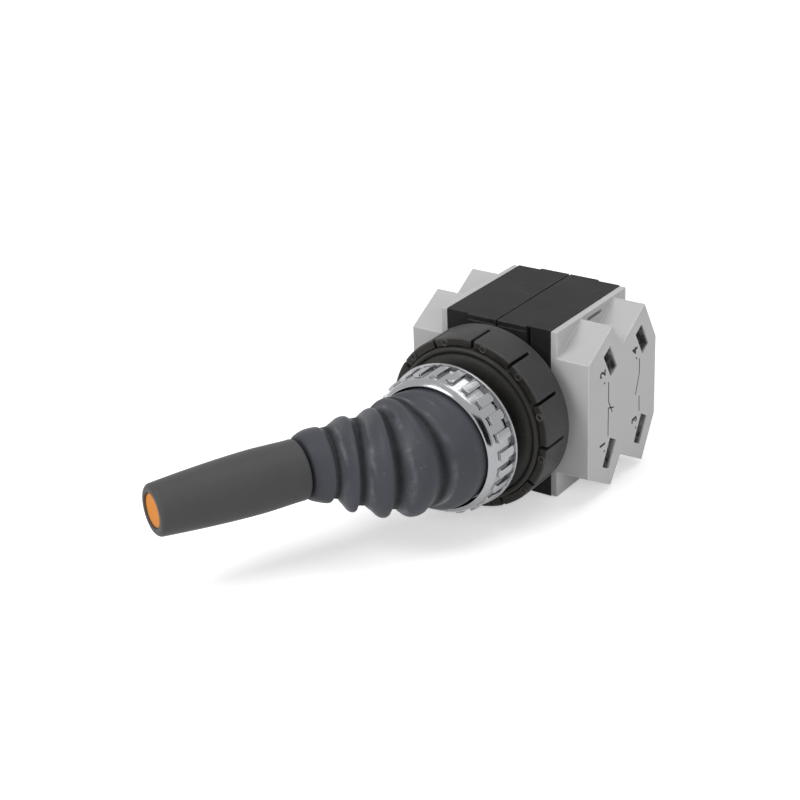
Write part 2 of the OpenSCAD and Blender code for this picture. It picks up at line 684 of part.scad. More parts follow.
module return_spring(s, shift) steel() translate([s * rocker_reach, pocket_y + shift, 0])
    along_y() coil(return_spring_r, spring_wire, spring_seat - pocket_y - shift, 6);

// Inner case of a block: a shell open to the side, with screw bosses and guide ribs
module case_shell(s) black_plastic() side(s) difference() {
    h = block_h / 2;
    w = block_wall;
    union() {
        difference() {
            box([case_x0, case_y0, -h], [case_x1, case_y1, h]);
            box([case_x0 + w, case_y0 + w, w - h], [case_x1 + 1, case_y1 - w, h - w]);
        }
        for (t = [-1, 1]) {
            translate([case_mid_x, 0, t * block_screw_z]) intersection() {
                disc_y(block_screw_head_d / 2 + 0.9, case_y0 + 0.5, case_y1 - 0.5);
                box([case_x0 - case_mid_x + 0.5, 0, -6], [case_x1 - case_mid_x, case_y1, 6]);
            }
            // Ribs above and below the carriage guide it at both ends
            low = t > 0 ? carriage_h / 2 + rib_gap : -carriage_h / 2 - rib_gap - rib_t;
            for (y = [case_y0 + w, case_y1 - w - guide_l])
                box([case_x0 + 0.5, y - 0.5, low], [case_x1 - 0.4, y + guide_l + 0.5, low + rib_t]);
        }
    }
    translate([rocker_reach, 0, 0]) disc_y(plunger_d / 2 + loose_gap, case_y0 - 1, case_y0 + w + 1);
    for (t = [-1, 1]) translate([case_mid_x, 0, t * block_screw_z]) {
        disc_y(block_screw_d / 2 + loose_gap, case_y0 - 1, case_y1 + 1);
        disc_y(block_screw_head_d / 2 + loose_gap, case_y1 - block_screw_head_h - 0.2, case_y1 + 1);
    }
    // Parting groove under the front and rear edges
    for (y = [case_y0 - 1, case_y1 - 0.25]) box([case_x0 - 1, y, h - 1.5], [case_x1 + 1, y + 1.25, h - 1.2]);
}

// Outer frame of a block, open through, with a lug for each latch slot
module frame_ring(s) black_plastic() side(s) {
    h = block_h / 2;
    w = block_wall;
    difference() {
        box([case_x1, frame_y0, -h], [frame_x1, frame_y1, h]);
        box([case_x1 - 1, frame_y0 + w, w - h], [frame_x1 + 1, frame_y1 - w, h - w]);
        // Shadow groove against the case
        if (s > 0) for (y = [frame_y0 - 1, frame_y1 - 0.8])
            box([case_x1 - 1, y, -h - 1], [case_x1 + 0.9, y + 1.8, h - 0.6]);
    }
    low = latch_z - latch_h / 2 + loose_gap;
    high = latch_z + latch_h / 2 - loose_gap;
    for (t = [0, 1]) mirror([0, 0, t]) translate([0, frame_y0 + latch_y, 0]) {
        box([frame_x1 - w, loose_gap, low], [frame_x1, latch_l - loose_gap, h - 0.5]);
        box([frame_x1 - w, loose_gap, low], [frame_x1 + cover_t / 2, latch_l - loose_gap, high]);
    }
}

// Frame of a terminal: the window's centre, turned so that Y is the screw's way out
module at_window(y, t) translate([0, frame_y0 + y, t * window_z])
    rotate([t * window_turn, 0, 0]) children();
// Draws children at each of the four windows of a block
module windows() for (y = [window_front_y, window_rear_y]) for (t = [-1, 1])
    at_window(y, t) translate([0, 0, t > 0 ? 0 : 0]) mirror([0, 0, t > 0 ? 0 : 1]) children();

// Terminal cover: base plate and a housing with two slanted prongs at each edge
module cover(s) cover_plastic() side(s) difference() {
    union() {
        box([frame_x1, frame_y0, -cover_h / 2], [plate_x1, frame_y1, cover_h / 2]);
        translate([frame_x1 + 0.5, frame_y0, 0]) rotate([90, 0, 90]) linear_extrude(housing_x1 - frame_x1 - 0.5)
            polygon([
                [0, housing_front_z], [prong_front_y, prong_z], [notch_y, notch_z],
                [prong_rear_y, prong_z], [cover_l, housing_rear_z],
                [cover_l, -housing_rear_z], [prong_rear_y, -prong_z],
                [notch_y, -notch_z], [prong_front_y, -prong_z], [0, -housing_front_z]]);
    }
    windows() {
        // Wire window, right through to the frame
        box([frame_x1 - 1, -window_w / 2, -window_l / 2],
            [housing_x1 + 1, window_w / 2, window_l / 2]);
    }
    windows() translate([term_x(), 0, term_offset]) disc_y(term_head_d / 2 + loose_gap, 0, screw_way_l);
    for (t = [-1, 1]) box([frame_x1 - 1, frame_y0 + latch_y, t * latch_z - latch_h / 2],
        [plate_x1 + 1, frame_y0 + latch_y + latch_l, t * latch_z + latch_h / 2]);
}

// Place of the terminal screws along X, the middle of the housing
function term_x() = (plate_x1 + housing_x1) / 2;

// Four terminal strips: a tab in the window and a leg that ends in a contact button
module terminals(s) brass() side(s) {
    windows() difference() {
        box([case_x1 + 1.5, 0.1 - window_w / 2, -strip_w / 2],
            [housing_x1 - strip_back, 0.1 - window_w / 2 + strip_t, strip_w / 2]);
        translate([term_x(), 0, term_offset]) disc_y(term_screw_d / 2, -window_w, 0);
    }
    for (y = [strip_y_nc, strip_y_no]) for (t = [-1, 1]) {
        facing = y < strip_y_no ? 1 : -1;
        box([rocker_reach - bridge_w / 2, y - strip_t / 2, t > 0 ? leg_start_z : -leg_end_z],
            [case_x1 + 4.4, y + strip_t / 2, t > 0 ? leg_end_z : -leg_start_z]);
        translate([rocker_reach, 0, t * button_z]) disc_y(button_r,
            facing > 0 ? y : y - strip_t / 2 - fixed_button_h,
            facing > 0 ? y + strip_t / 2 + fixed_button_h : y);
    }
}

module wire_clamps(s) steel() side(s) windows() translate([term_x(), 0, term_offset]) difference() {
    box([-clamp_w / 2, window_w / 2 - clamp_t - 0.1, -clamp_w / 2 - term_offset + 0.9],
        [clamp_w / 2, window_w / 2 - 0.1, window_l / 2 - term_offset - 0.15]);
    disc_y(term_screw_d / 2 + 0.1, 0, window_w);
}

module terminal_screws(s) steel() side(s) windows() translate([term_x(), 0, term_offset]) difference() {
    union() {
        disc_y(term_screw_d / 2, 0.1 - window_w / 2, window_w / 2);
        disc_y(term_head_d / 2, window_w / 2 - 0.1, window_w / 2 - 0.1 + term_head_h);
    }
    box([-0.4, window_w / 2 + term_head_h - 0.9, -5], [0.4, window_w + 5, 5]);
}

// Screws that hold both blocks to the coupling plate
module block_screws() steel() for (s = [-1, 1]) for (t = [-1, 1])
    translate([s * case_mid_x, 0, t * block_screw_z]) difference() {
        top = case_y1 - 0.2;
        union() {
            disc_y(block_screw_d / 2, body_y1 + 0.3, top - 1);
            disc_y(block_screw_head_d / 2, top - block_screw_head_h, top);
        }
        box([-0.45, top - 0.9, -5], [0.45, top + 1, 5]);
        box([-5, top - 0.9, -0.45], [5, top + 1, 0.45]);
    }

operator_body();
gasket();
collar();
ring_nut();
coupling_plate();
head_screws();
pivot_pin();
detent_spring();
boot();
lever_hub();
lever_rod();
lock_nut();
grip();
grip_cap();
plunger(-1, travel);  // plunger_left
plunger(1, 0);  // plunger_right
carriage(-1, travel);  // carriage_left
carriage(1, 0);  // carriage_right
bridges(-1, travel);  // bridges_left
bridges(1, 0);  // bridges_right
contact_springs(-1, travel);  // contact_springs_left
contact_springs(1, 0);  // contact_springs_right
return_spring(-1, travel);  // return_spring_left
return_spring(1, 0);  // return_spring_right
case_shell(-1);  // case_left
case_shell(1);  // case_right
frame_ring(-1);  // frame_left
frame_ring(1);  // frame_right
cover(-1);  // cover_left
cover(1);  // cover_right
terminals(-1);  // terminals_left
terminals(1);  // terminals_right
wire_clamps(-1);  // wire_clamps_left
wire_clamps(1);  // wire_clamps_right
terminal_screws(-1);  // terminal_screws_left
terminal_screws(1);  // terminal_screws_right
block_screws();
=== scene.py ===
"""Industrial panel joystick: materials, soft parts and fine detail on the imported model.

Everything is in metres in the CAD's frame. X runs to the operator's right, +Y into
the panel and +Z up. The origin is the centre of the gasket's front face.
"""
import json
import math

import bmesh
import bpy
from mathutils import Matrix, Vector, noise
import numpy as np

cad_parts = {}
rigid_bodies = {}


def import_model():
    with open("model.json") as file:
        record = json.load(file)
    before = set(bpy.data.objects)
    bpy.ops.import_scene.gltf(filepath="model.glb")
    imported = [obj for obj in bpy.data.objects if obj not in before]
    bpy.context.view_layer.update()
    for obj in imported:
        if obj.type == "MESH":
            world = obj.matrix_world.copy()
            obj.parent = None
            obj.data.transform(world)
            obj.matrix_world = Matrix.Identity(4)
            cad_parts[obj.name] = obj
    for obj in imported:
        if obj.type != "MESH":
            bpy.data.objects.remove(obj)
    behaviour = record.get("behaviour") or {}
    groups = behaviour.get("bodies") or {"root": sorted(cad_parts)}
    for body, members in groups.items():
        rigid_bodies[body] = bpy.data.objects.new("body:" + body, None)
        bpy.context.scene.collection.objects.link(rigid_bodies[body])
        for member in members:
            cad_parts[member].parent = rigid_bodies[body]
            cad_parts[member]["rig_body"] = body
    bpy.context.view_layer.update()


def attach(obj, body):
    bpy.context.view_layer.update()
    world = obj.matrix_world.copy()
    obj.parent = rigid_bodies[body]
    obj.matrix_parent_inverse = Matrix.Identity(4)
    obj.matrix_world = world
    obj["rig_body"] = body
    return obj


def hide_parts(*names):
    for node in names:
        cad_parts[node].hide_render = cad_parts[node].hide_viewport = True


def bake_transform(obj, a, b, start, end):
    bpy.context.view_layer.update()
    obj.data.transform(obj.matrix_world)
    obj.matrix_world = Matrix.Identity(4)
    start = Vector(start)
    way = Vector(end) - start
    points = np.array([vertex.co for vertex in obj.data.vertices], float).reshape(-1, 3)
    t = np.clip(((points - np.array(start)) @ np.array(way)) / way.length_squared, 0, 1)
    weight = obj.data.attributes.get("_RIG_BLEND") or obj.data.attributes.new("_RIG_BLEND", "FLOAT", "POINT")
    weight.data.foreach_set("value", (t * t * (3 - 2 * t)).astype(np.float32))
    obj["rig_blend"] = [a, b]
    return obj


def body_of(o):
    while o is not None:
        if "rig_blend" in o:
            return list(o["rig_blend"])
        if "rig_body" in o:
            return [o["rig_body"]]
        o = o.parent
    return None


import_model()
MM = 0.001
# Slack in comparing sizes, in millimetres
SLACK = 0.01

# Sizes taken over from the CAD, in millimetres. Stations, whose names end in _S, and the
# grip's start and end are distances from the pivot along the lever.
PIVOT_Y = 4.0
TILT = 25.5
NECK_R = 15.0
NECK_FRONT = -15.8
NECK_BORE_R = 13.3
THREAD_PITCH = 1.5
BOOT_FOOT_S = 15.5
BOOT_START_S = 20.5
BOOT_BEND_END_S = 50.6
BOOT_TOP_S = 51.8
GRIP_START = 52.0
GRIP_END = 92.2
CASE_EDGE_X = 9.1
COVER_FACE_X = 27.5
COLLAR_FACE_Y = 1.2
SLOT_TURN = 26.0
SLOT_COUNT = 12
WINDOW_Y = (28.25, 46)
WINDOW_Z = 13.5
WINDOW_TURN = 29.5
WINDOW_SIZE = (4.0, 8.2)
NUT_LIP_L = 1.7


# Node helpers

class Tree:
    """Adds and links nodes in one node tree."""

    def __init__(self, tree):
        self.tree = tree

    def node(self, kind, **settings):
        made = self.tree.nodes.new(kind)
        for key, value in settings.items():
            setattr(made, key, value)
        return made

    def put(self, value, socket):
        """Links an output to a socket, or sets the socket to a plain value."""
        if isinstance(value, bpy.types.NodeSocket):
            self.tree.links.new(value, socket)
        else:
            socket.default_value = value

    def math(self, operation, a, b=0.0, clamp=False):
        made = self.node("ShaderNodeMath", operation=operation, use_clamp=clamp)
        self.put(a, made.inputs[0])
        self.put(b, made.inputs[1])
        return made.outputs[0]

    def mix(self, factor, a, b):
        """Mixes two colours. A Mix node's colour sockets are inputs 6 and 7 and output 2."""
        made = self.node("ShaderNodeMix", data_type="RGBA")
        self.put(factor, made.inputs[0])
        self.put(a, made.inputs[6])
        self.put(b, made.inputs[7])
        return made.outputs[2]

    def noise(self, vector, scale, detail=3.0, rough=0.5, distortion=0.0):
        made = self.node("ShaderNodeTexNoise")
        self.put(vector, made.inputs["Vector"])
        self.put(scale, made.inputs["Scale"])
        made.inputs["Detail"].default_value = detail
        made.inputs["Roughness"].default_value = rough
        made.inputs["Distortion"].default_value = distortion
        return made.outputs["Fac"]

    def ramp(self, value, low, high, to_low=0.0, to_high=1.0):
        """A smooth step from to_low at low to to_high at high."""
        made = self.node("ShaderNodeMapRange", interpolation_type="SMOOTHSTEP")
        for item, socket in zip((value, low, high, to_low, to_high), made.inputs[:5]):
            self.put(item, socket)
        return made.outputs[0]

    def attribute(self, name):
        return self.node("ShaderNodeAttribute", attribute_name=name).outputs["Fac"]

    def stretched(self, vector, scale):
        """A vector scaled by its own factor on each axis."""
        made = self.node("ShaderNodeVectorMath", operation="MULTIPLY")
        self.put(vector, made.inputs[0])
        made.inputs[1].default_value = scale
        return made.outputs[0]

    def bump(self, height, distance, normal=None):
        made = self.node("ShaderNodeBump")
        made.inputs["Strength"].default_value = 1.0
        self.put(distance, made.inputs["Distance"])
        self.put(height, made.inputs["Height"])
        if normal is not None:
            self.put(normal, made.inputs["Normal"])
        return made.outputs[0]


def shader_group(name, inputs, outputs):
    """An empty shader group with named sockets, and its tree helper and ends."""
    group = bpy.data.node_groups.new(name, "ShaderNodeTree")
    for label, kind in inputs:
        group.interface.new_socket(name=label, in_out="INPUT", socket_type=kind)
    for label, kind in outputs:
        group.interface.new_socket(name=label, in_out="OUTPUT", socket_type=kind)
    tree = Tree(group)
    return group, tree, tree.node("NodeGroupInput").outputs, tree.node("NodeGroupOutput").inputs


FLOAT, COLOUR, VECTOR = "NodeSocketFloat", "NodeSocketColor", "NodeSocketVector"


def moulded_group():
    """Moulded plastic or rubber: grain, mottle, scuffs, rubbed edges, painted highlights where a mesh
    marks them with its edges, and painted shade where a mesh marks its hollows.
    """
    group, t, given, made = shader_group(
        "Moulded surface",
        [("Colour", COLOUR), ("Edge colour", COLOUR), ("Dust colour", COLOUR),
         ("Grain scale", FLOAT), ("Grain depth", FLOAT), ("Mottle", FLOAT), ("Scuffs", FLOAT),
         ("Roughness", FLOAT), ("Least dust", FLOAT)],
        [("Colour", COLOUR), ("Roughness", FLOAT), ("Normal", VECTOR)])
    place = t.node("ShaderNodeTexCoord").outputs["Object"]
    grain = t.noise(place, given["Grain scale"], detail=4.0, rough=0.6)
    broad = t.noise(place, scale=90.0, detail=3.0, rough=0.55)
    patches = t.noise(place, scale=420.0, detail=4.0, rough=0.6, distortion=0.4)
    shade = t.math("ADD", t.math("MULTIPLY", t.math("SUBTRACT", broad, 0.5), given["Mottle"]),
                   t.math("MULTIPLY", t.math("SUBTRACT", patches, 0.5),
                          t.math("MULTIPLY", given["Mottle"], 0.6)))
    bright = t.math("ADD", shade, 1.0)
    tinted = t.node("ShaderNodeVectorMath", operation="SCALE")
    t.put(given["Colour"], tinted.inputs[0])
    t.put(bright, tinted.inputs["Scale"])
    scratches = t.noise(t.stretched(place, (260.0, 2600.0, 900.0)), scale=1.0, detail=2.0,
                        rough=0.5, distortion=0.6)
    scuffs = t.math("MULTIPLY", t.ramp(scratches, 0.66, 0.74),
                    t.math("MULTIPLY", t.ramp(broad, 0.5, 0.62), given["Scuffs"]), True)
    # Worn bevels lighten the colour; on the bellows' ridges the same value is a painted highlight
    edge = t.math("MULTIPLY", t.attribute("edge"), t.ramp(patches, 0.35, 0.65, 0.35, 1.0), True)
    # Painted shade: where a mesh marks its hollows, the colour goes in patches towards the shade colour, and
    # the surface is rougher there
    hollow_shade = t.math("MULTIPLY", t.attribute("painted_shade"),
                  t.ramp(patches, 0.3, 0.7, given["Least dust"], 1.0), True)
    worn_and_lit = t.mix(t.math("MAXIMUM", scuffs, edge), tinted.outputs[0], given["Edge colour"])
    t.put(t.mix(hollow_shade, worn_and_lit, given["Dust colour"]), made["Colour"])
    rough = t.math("ADD", given["Roughness"],
                   t.math("MULTIPLY", t.math("SUBTRACT", patches, 0.5), 0.16))
    rough = t.math("SUBTRACT", rough, t.math("MULTIPLY", edge, 0.08))
    t.put(t.math("ADD", rough, t.math("MULTIPLY", hollow_shade, 0.2), True), made["Roughness"])
    fine = t.bump(grain, given["Grain depth"])
    t.put(t.bump(patches, t.math("MULTIPLY", given["Grain depth"], 1.5), fine), made["Normal"])
    return group


HAIRLINE_DEPTH = 0.00002


def metal_group():
    """Plated or drawn metal: haze, pits, hairlines, darker dirt spots, and painted shade in the dirt colour
    where a mesh marks its hollows.
    """
    group, t, given, made = shader_group(
        "Metal surface",
        [("Colour", COLOUR), ("Dirt colour", COLOUR), ("Roughness", FLOAT), ("Haze", FLOAT),
         ("Hairlines", FLOAT), ("Dirt", FLOAT), ("Wave", FLOAT)],
        [("Colour", COLOUR), ("Roughness", FLOAT), ("Normal", VECTOR)])
    place = t.node("ShaderNodeTexCoord").outputs["Object"]
    broad = t.noise(place, scale=160.0, detail=3.0, rough=0.5)
    pits = t.noise(place, scale=1500.0, detail=3.0, rough=0.65)
    lines = t.noise(t.stretched(place, (180.0, 5200.0, 180.0)), scale=1.0, detail=2.0, rough=0.5)
    haze = t.math("MULTIPLY", t.ramp(broad, 0.42, 0.66), given["Haze"])
    spots = t.math("MULTIPLY", t.ramp(pits, 0.63, 0.72), given["Dirt"])
    # Painted shade: where a mesh marks its hollows, the colour goes towards the dirt colour
    dirt = t.math("MAXIMUM", spots, t.math("MULTIPLY", t.attribute("painted_shade"), given["Dirt"]), True)
    t.put(t.mix(dirt, given["Colour"], given["Dirt colour"]), made["Colour"])
    rough = t.math("ADD", given["Roughness"], haze)
    t.put(t.math("ADD", rough, t.math("MULTIPLY", dirt, 0.3), True), made["Roughness"])
    wavy = t.bump(broad, given["Wave"])
    t.put(t.bump(lines, t.math("MULTIPLY", given["Hairlines"], HAIRLINE_DEPTH), wavy),
          made["Normal"])
    return group


MOULDED = moulded_group()
METAL = metal_group()


def material(name, group, values, **shader):
    """A material from one of the groups, with constants on the shader's own sockets."""
    mat = bpy.data.materials.new(name)
    mat.use_nodes = True
    t = Tree(mat.node_tree)
    principled = mat.node_tree.nodes["Principled BSDF"]
    surface = t.node("ShaderNodeGroup", node_tree=group)
    for key, value in values.items():
        surface.inputs[key].default_value = value
    t.put(surface.outputs["Colour"], principled.inputs["Base Color"])
    t.put(surface.outputs["Roughness"], principled.inputs["Roughness"])
    t.put(surface.outputs["Normal"], principled.inputs["Normal"])
    for key, value in shader.items():
        principled.inputs[key.replace("_", " ")].default_value = value
    return mat


def grey(level, tint=(1.0, 1.0, 1.0)):
    """A grey as a colour, with a slight tint."""
    return (level * tint[0], level * tint[1], level * tint[2], 1.0)


def moulded(name, colour, edge, hollow_shade, grain=2600.0, depth=0.00002, mottle=0.16, scuffs=0.3,
            rough=0.5, least_shade=0.4, **shader):
    """A plastic or rubber from the group of moulded surfaces."""
    values = {"Colour": colour, "Edge colour": edge, "Dust colour": hollow_shade, "Grain scale": grain,
              "Grain depth": depth, "Mottle": mottle, "Scuffs": scuffs, "Roughness": rough,
              "Least dust": least_shade}
    return material(name, MOULDED, values, **shader)


def metal(name, colour, dirt_colour, rough=0.15, haze=0.1, hairlines=1.0, dirt=0.4,
          wave=0.00001, **shader):
    """A metal from the group of metal surfaces."""
    values = {"Colour": colour, "Dirt colour": dirt_colour, "Roughness": rough, "Haze": haze,
              "Hairlines": hairlines, "Dirt": dirt, "Wave": wave}
    return material(name, METAL, values, Metallic=1.0, **shader)


MATS = {
    "housing": moulded("Black housing", grey(0.021, (0.98, 1.0, 1.05)), grey(0.07), grey(0.05),
                       grain=2200.0, depth=0.00003, mottle=0.8, scuffs=0.8, rough=0.52,
                       Specular_IOR_Level=0.08),
    "body": moulded("Black body", grey(0.018), grey(0.05), grey(0.035), mottle=0.5, rough=0.5,
                    Specular_IOR_Level=0.2),
    "collar": moulded("Collar plastic", grey(0.048, (1.0, 1.0, 1.03)), grey(0.09), grey(0.025),
                      mottle=0.14, scuffs=0.2, rough=0.5, Specular_IOR_Level=0.13),
    # The front face is really black and rough; the same near-black on the slot walls and inner wall is
    # painted shade
    "collar_face_and_shade": moulded("Rough collar face and slot shade", grey(0.014, (1.1, 1.0, 0.85)),
                            grey(0.06, (1.1, 1.0, 0.85)), grey(0.008), grain=1300.0,
                            depth=0.00012, mottle=1.4, scuffs=0.8, rough=0.5,
                            Specular_IOR_Level=0.3),
    "ring_mark": moulded("Dusty ring marks", grey(0.05, (1.1, 1.0, 0.85)), grey(0.2), grey(0.15),
                         grain=1500.0, depth=0.0001, mottle=2.0, scuffs=1.0, rough=0.7),
    "grip": moulded("Grip plastic", grey(0.084, (1.0, 1.0, 1.02)), grey(0.12), grey(0.05),
                    mottle=0.1, scuffs=0.25, rough=0.44, Specular_IOR_Level=0.06),
    "cap": moulded("Orange cap", (0.74, 0.245, 0.015, 1.0), (0.78, 0.33, 0.08, 1.0),
                   (0.45, 0.14, 0.03, 1.0), mottle=0.1, rough=0.45, Specular_IOR_Level=0.08),
    # The cover's shade colour is painted shade inside its wire windows
    "cover": moulded("Light grey cover", grey(0.52), grey(0.64), grey(0.035), grain=3000.0,
                     depth=0.000012, mottle=0.05, scuffs=0.12, rough=0.45,
                     Specular_IOR_Level=0.18),
    "red": moulded("Carriage plastic", (0.30, 0.025, 0.018, 1.0), (0.4, 0.06, 0.04, 1.0),
                   (0.2, 0.03, 0.02, 1.0)),
    "gasket": moulded("Gasket rubber", grey(0.016, (1.05, 1.0, 0.92)), grey(0.04),
                      grey(0.03, (1.0, 0.96, 0.88)), grain=1800.0, depth=0.00004, mottle=0.8,
                      scuffs=0.7, rough=0.5, Specular_IOR_Level=0.3),
    # The bellows' shade colour is painted shade in its valleys and at its small end
    "boot": moulded("Bellows rubber", grey(0.076, (0.93, 0.97, 1.12)),
                    # Its wear and highlight colour is a painted highlight on the bellows' ridges
                    grey(0.16, (0.95, 0.98, 1.08)), grey(0.014, (0.95, 0.98, 1.08)),
                    grain=2400.0, depth=0.000025, mottle=0.14, scuffs=0.5, rough=0.42,
                    least_shade=0.85, Specular_IOR_Level=0.1),
    "ink": moulded("Black ink", grey(0.012), grey(0.03), grey(0.02), mottle=0.3, rough=0.6,
                   Specular_IOR_Level=0.2),
    "chrome": metal("Chrome", grey(0.34, (0.98, 0.99, 1.02)), grey(0.08, (1.0, 0.9, 0.75)),
                    rough=0.12, haze=0.14, hairlines=0.8, dirt=0.5, wave=0.00003),
    # The wire clamps are darker than plated steel as painted shade inside the wire windows
    "clamp": metal("Wire clamp with painted shade", grey(0.10, (1.0, 0.95, 0.88)), grey(0.03), rough=0.4,
                   haze=0.15, hairlines=2.0, dirt=0.7),
    "steel": metal("Zinc plated steel", grey(0.55, (1.0, 1.0, 1.02)), grey(0.2, (1.0, 0.9, 0.8)),
                   rough=0.28, haze=0.15, hairlines=2.0, dirt=0.5),
    # This brass is kept darker than bright brass as painted shade inside the wire windows
    "brass": metal("Brass with painted shade", (0.30, 0.21, 0.10, 1.0), (0.10, 0.065, 0.035, 1.0),
                   rough=0.35, haze=0.15, hairlines=2.0, dirt=0.7),
}

# Which material each CAD node shows
NODE_MATS = {
    "operator_body": "body", "gasket": "gasket", "collar": "collar", "ring_nut": "chrome",
    "coupling_plate": "body", "head_screws": "steel", "pivot_pin": "steel",
    "detent_spring": "steel", "boot": "boot", "lever_hub": "steel", "lever_rod": "steel",
    "lock_nut": "steel", "grip": "grip", "grip_cap": "cap", "block_screws": "steel"}
for side_name in ("left", "right"):
    NODE_MATS.update({
        "plunger_" + side_name: "body", "carriage_" + side_name: "red",
        "bridges_" + side_name: "brass", "contact_springs_" + side_name: "steel",
        "return_spring_" + side_name: "steel", "case_" + side_name: "housing",
        "frame_" + side_name: "housing", "cover_" + side_name: "cover",
        "terminals_" + side_name: "brass", "wire_clamps_" + side_name: "clamp",
        "terminal_screws_" + side_name: "steel"})
for node_name, mat_name in NODE_MATS.items():
    slots = bpy.data.objects[node_name].data.materials
    slots.clear()
    slots.append(MATS[mat_name])


# Mesh helpers

def keep(name, mesh, mat, body, replaced=(), smooth=40.0):
    """Adds a finished mesh as a piece, which rides on a body unless it is blended."""
    mesh.name = name
    mesh.materials.clear()
    obj = bpy.data.objects.new(name, mesh)
    bpy.context.scene.collection.objects.link(obj)
    for one in (mat if isinstance(mat, (list, tuple)) else [mat]):
        mesh.materials.append(one)
    if smooth:
        mesh.shade_smooth()
        mesh.set_sharp_from_angle(angle=math.radians(smooth))
    if body:
        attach(obj, body)
    if replaced:
        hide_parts(*replaced)
    return obj


# Rounded edges: how near points are welded, in metres, how flat faces are joined, in degrees,
# and how much the rounding is rubbed
WELD = 2e-6
FLAT_WITHIN = 0.6
EDGE_WEAR = 0.8
# How near points of a cut or of the print are joined, in metres
JOIN = 1e-7
# How near a joint's plane a point counts as in it, in metres
IN_PLANE = 2e-5


def dressed(node, width, angle=28.0, change=None, mats=None, sharp_x=None, finish=None):
    """A copy of a CAD node with rounded edges that replaces it. Edges that lie in the
    plane of a joint at X = sharp_x stay sharp, so that the joint shows no groove."""
    source = bpy.data.objects[node]
    bm = bmesh.new()
    bm.from_mesh(source.data)
    bmesh.ops.remove_doubles(bm, verts=bm.verts, dist=WELD)
    bmesh.ops.dissolve_limit(bm, angle_limit=math.radians(FLAT_WITHIN), verts=bm.verts,
                             edges=bm.edges)
    if change:
        change(bm)
    layer = bm.faces.layers.float.new("edge")
    limit = math.radians(angle)
    edges = [e for e in bm.edges if len(e.link_faces) == 2 and e.calc_face_angle(0.0) > limit
             and not (sharp_x and all(abs(abs(v.co.x) - sharp_x * MM) < IN_PLANE
                                      for v in e.verts))]
    result = bmesh.ops.bevel(bm, geom=edges, offset=width * MM, offset_type="OFFSET", segments=2,
                             profile=0.6, affect="EDGES", clamp_overlap=False)
    for face in result["faces"]:
        face[layer] = EDGE_WEAR
    if finish:
        finish(bm)
    bmesh.ops.triangulate(bm, faces=[f for f in bm.faces if len(f.verts) > 4])
    mesh = bpy.data.meshes.new(node + "_dressed")
    bm.to_mesh(mesh)
    bm.free()
    mat = mats or MATS[NODE_MATS[node]]
    return keep(node + "_dressed", mesh, mat, body_of(source)[0], [node], smooth=22.0)


def finished_mesh(name, bm):
    """Turns a bmesh's faces outwards and makes it a mesh."""
    bmesh.ops.recalc_face_normals(bm, faces=bm.faces)
    mesh = bpy.data.meshes.new(name)
    bm.to_mesh(mesh)
    bm.free()
    return mesh


def closed_skin(bm, rings):
    """Faces between each ring of points and the next, and from the last to the first."""
    for low, high in zip(rings, rings[1:] + rings[:1]):
        for k in range(len(low)):
            n = (k + 1) % len(low)
            bm.faces.new((low[k], low[n], high[n], high[k]))


def lathe(profile, matrix, sides, wobble=None):
    """A surface of revolution about local Z from a closed loop of (radius, height) pairs in
    millimetres. wobble gives what is added to the radius at a radius, height and angle."""
    bm = bmesh.new()
    rings = []
    for r, h in profile:
        ring = []
        for k in range(sides):
            a = 2 * math.pi * k / sides
            extra = wobble(r, h, a) if wobble else 0.0
            ring.append(bm.verts.new(matrix @ Vector(((r + extra) * math.cos(a) * MM,
                                                      (r + extra) * math.sin(a) * MM, h * MM))))
        rings.append(ring)
    closed_skin(bm, rings)
    return finished_mesh("lathe", bm)


# Where a lathe's Z points: out of the panel, and along the tilted lever
OUTWARD = Matrix.Rotation(math.radians(90), 4, "X")
LEVER = (Matrix.Translation((0, PIVOT_Y * MM, 0)) @ Matrix.Rotation(math.radians(-TILT), 4, "Z")
         @ Matrix.Rotation(math.radians(90), 4, "X"))


def arc(cx, cy, r, start, end, steps):
    """Points of an arc between two angles in degrees."""
    return [(cx + r * math.cos(math.radians(start + (end - start) * i / steps)),
             cy + r * math.sin(math.radians(start + (end - start) * i / steps)))
            for i in range(steps + 1)]


# Operator body: the CAD's disc and chamber behind the panel, with a threaded neck in front

# Where the CAD's neck is cut off, and how far behind the panel's plane the new one begins
NECK_CUT_Y = 1.0
NECK_FOOT = -1.6
NECK_EDGE = 0.3
THREAD_DEPTH = 0.8
THREAD_ROW = 0.15
# How steep the flanks are, and how much of them is left as a flat crest
THREAD_FLANK = 1.3
THREAD_CREST = 0.15
# Where the thread runs out before the front end, and over what length
THREAD_END = 0.2
THREAD_RUN_OUT = 0.8


def body_without_neck(bm):
    """Cuts the plain neck off and closes the cut."""
    result = bmesh.ops.bisect_plane(bm, geom=bm.verts[:] + bm.edges[:] + bm.faces[:], dist=JOIN,
                                    plane_co=(0, NECK_CUT_Y * MM, 0), plane_no=(0, 1, 0),
                                    clear_inner=True)
    rim = [e for e in result["geom_cut"] if isinstance(e, bmesh.types.BMEdge)]
    bmesh.ops.edgeloop_fill(bm, edges=rim)


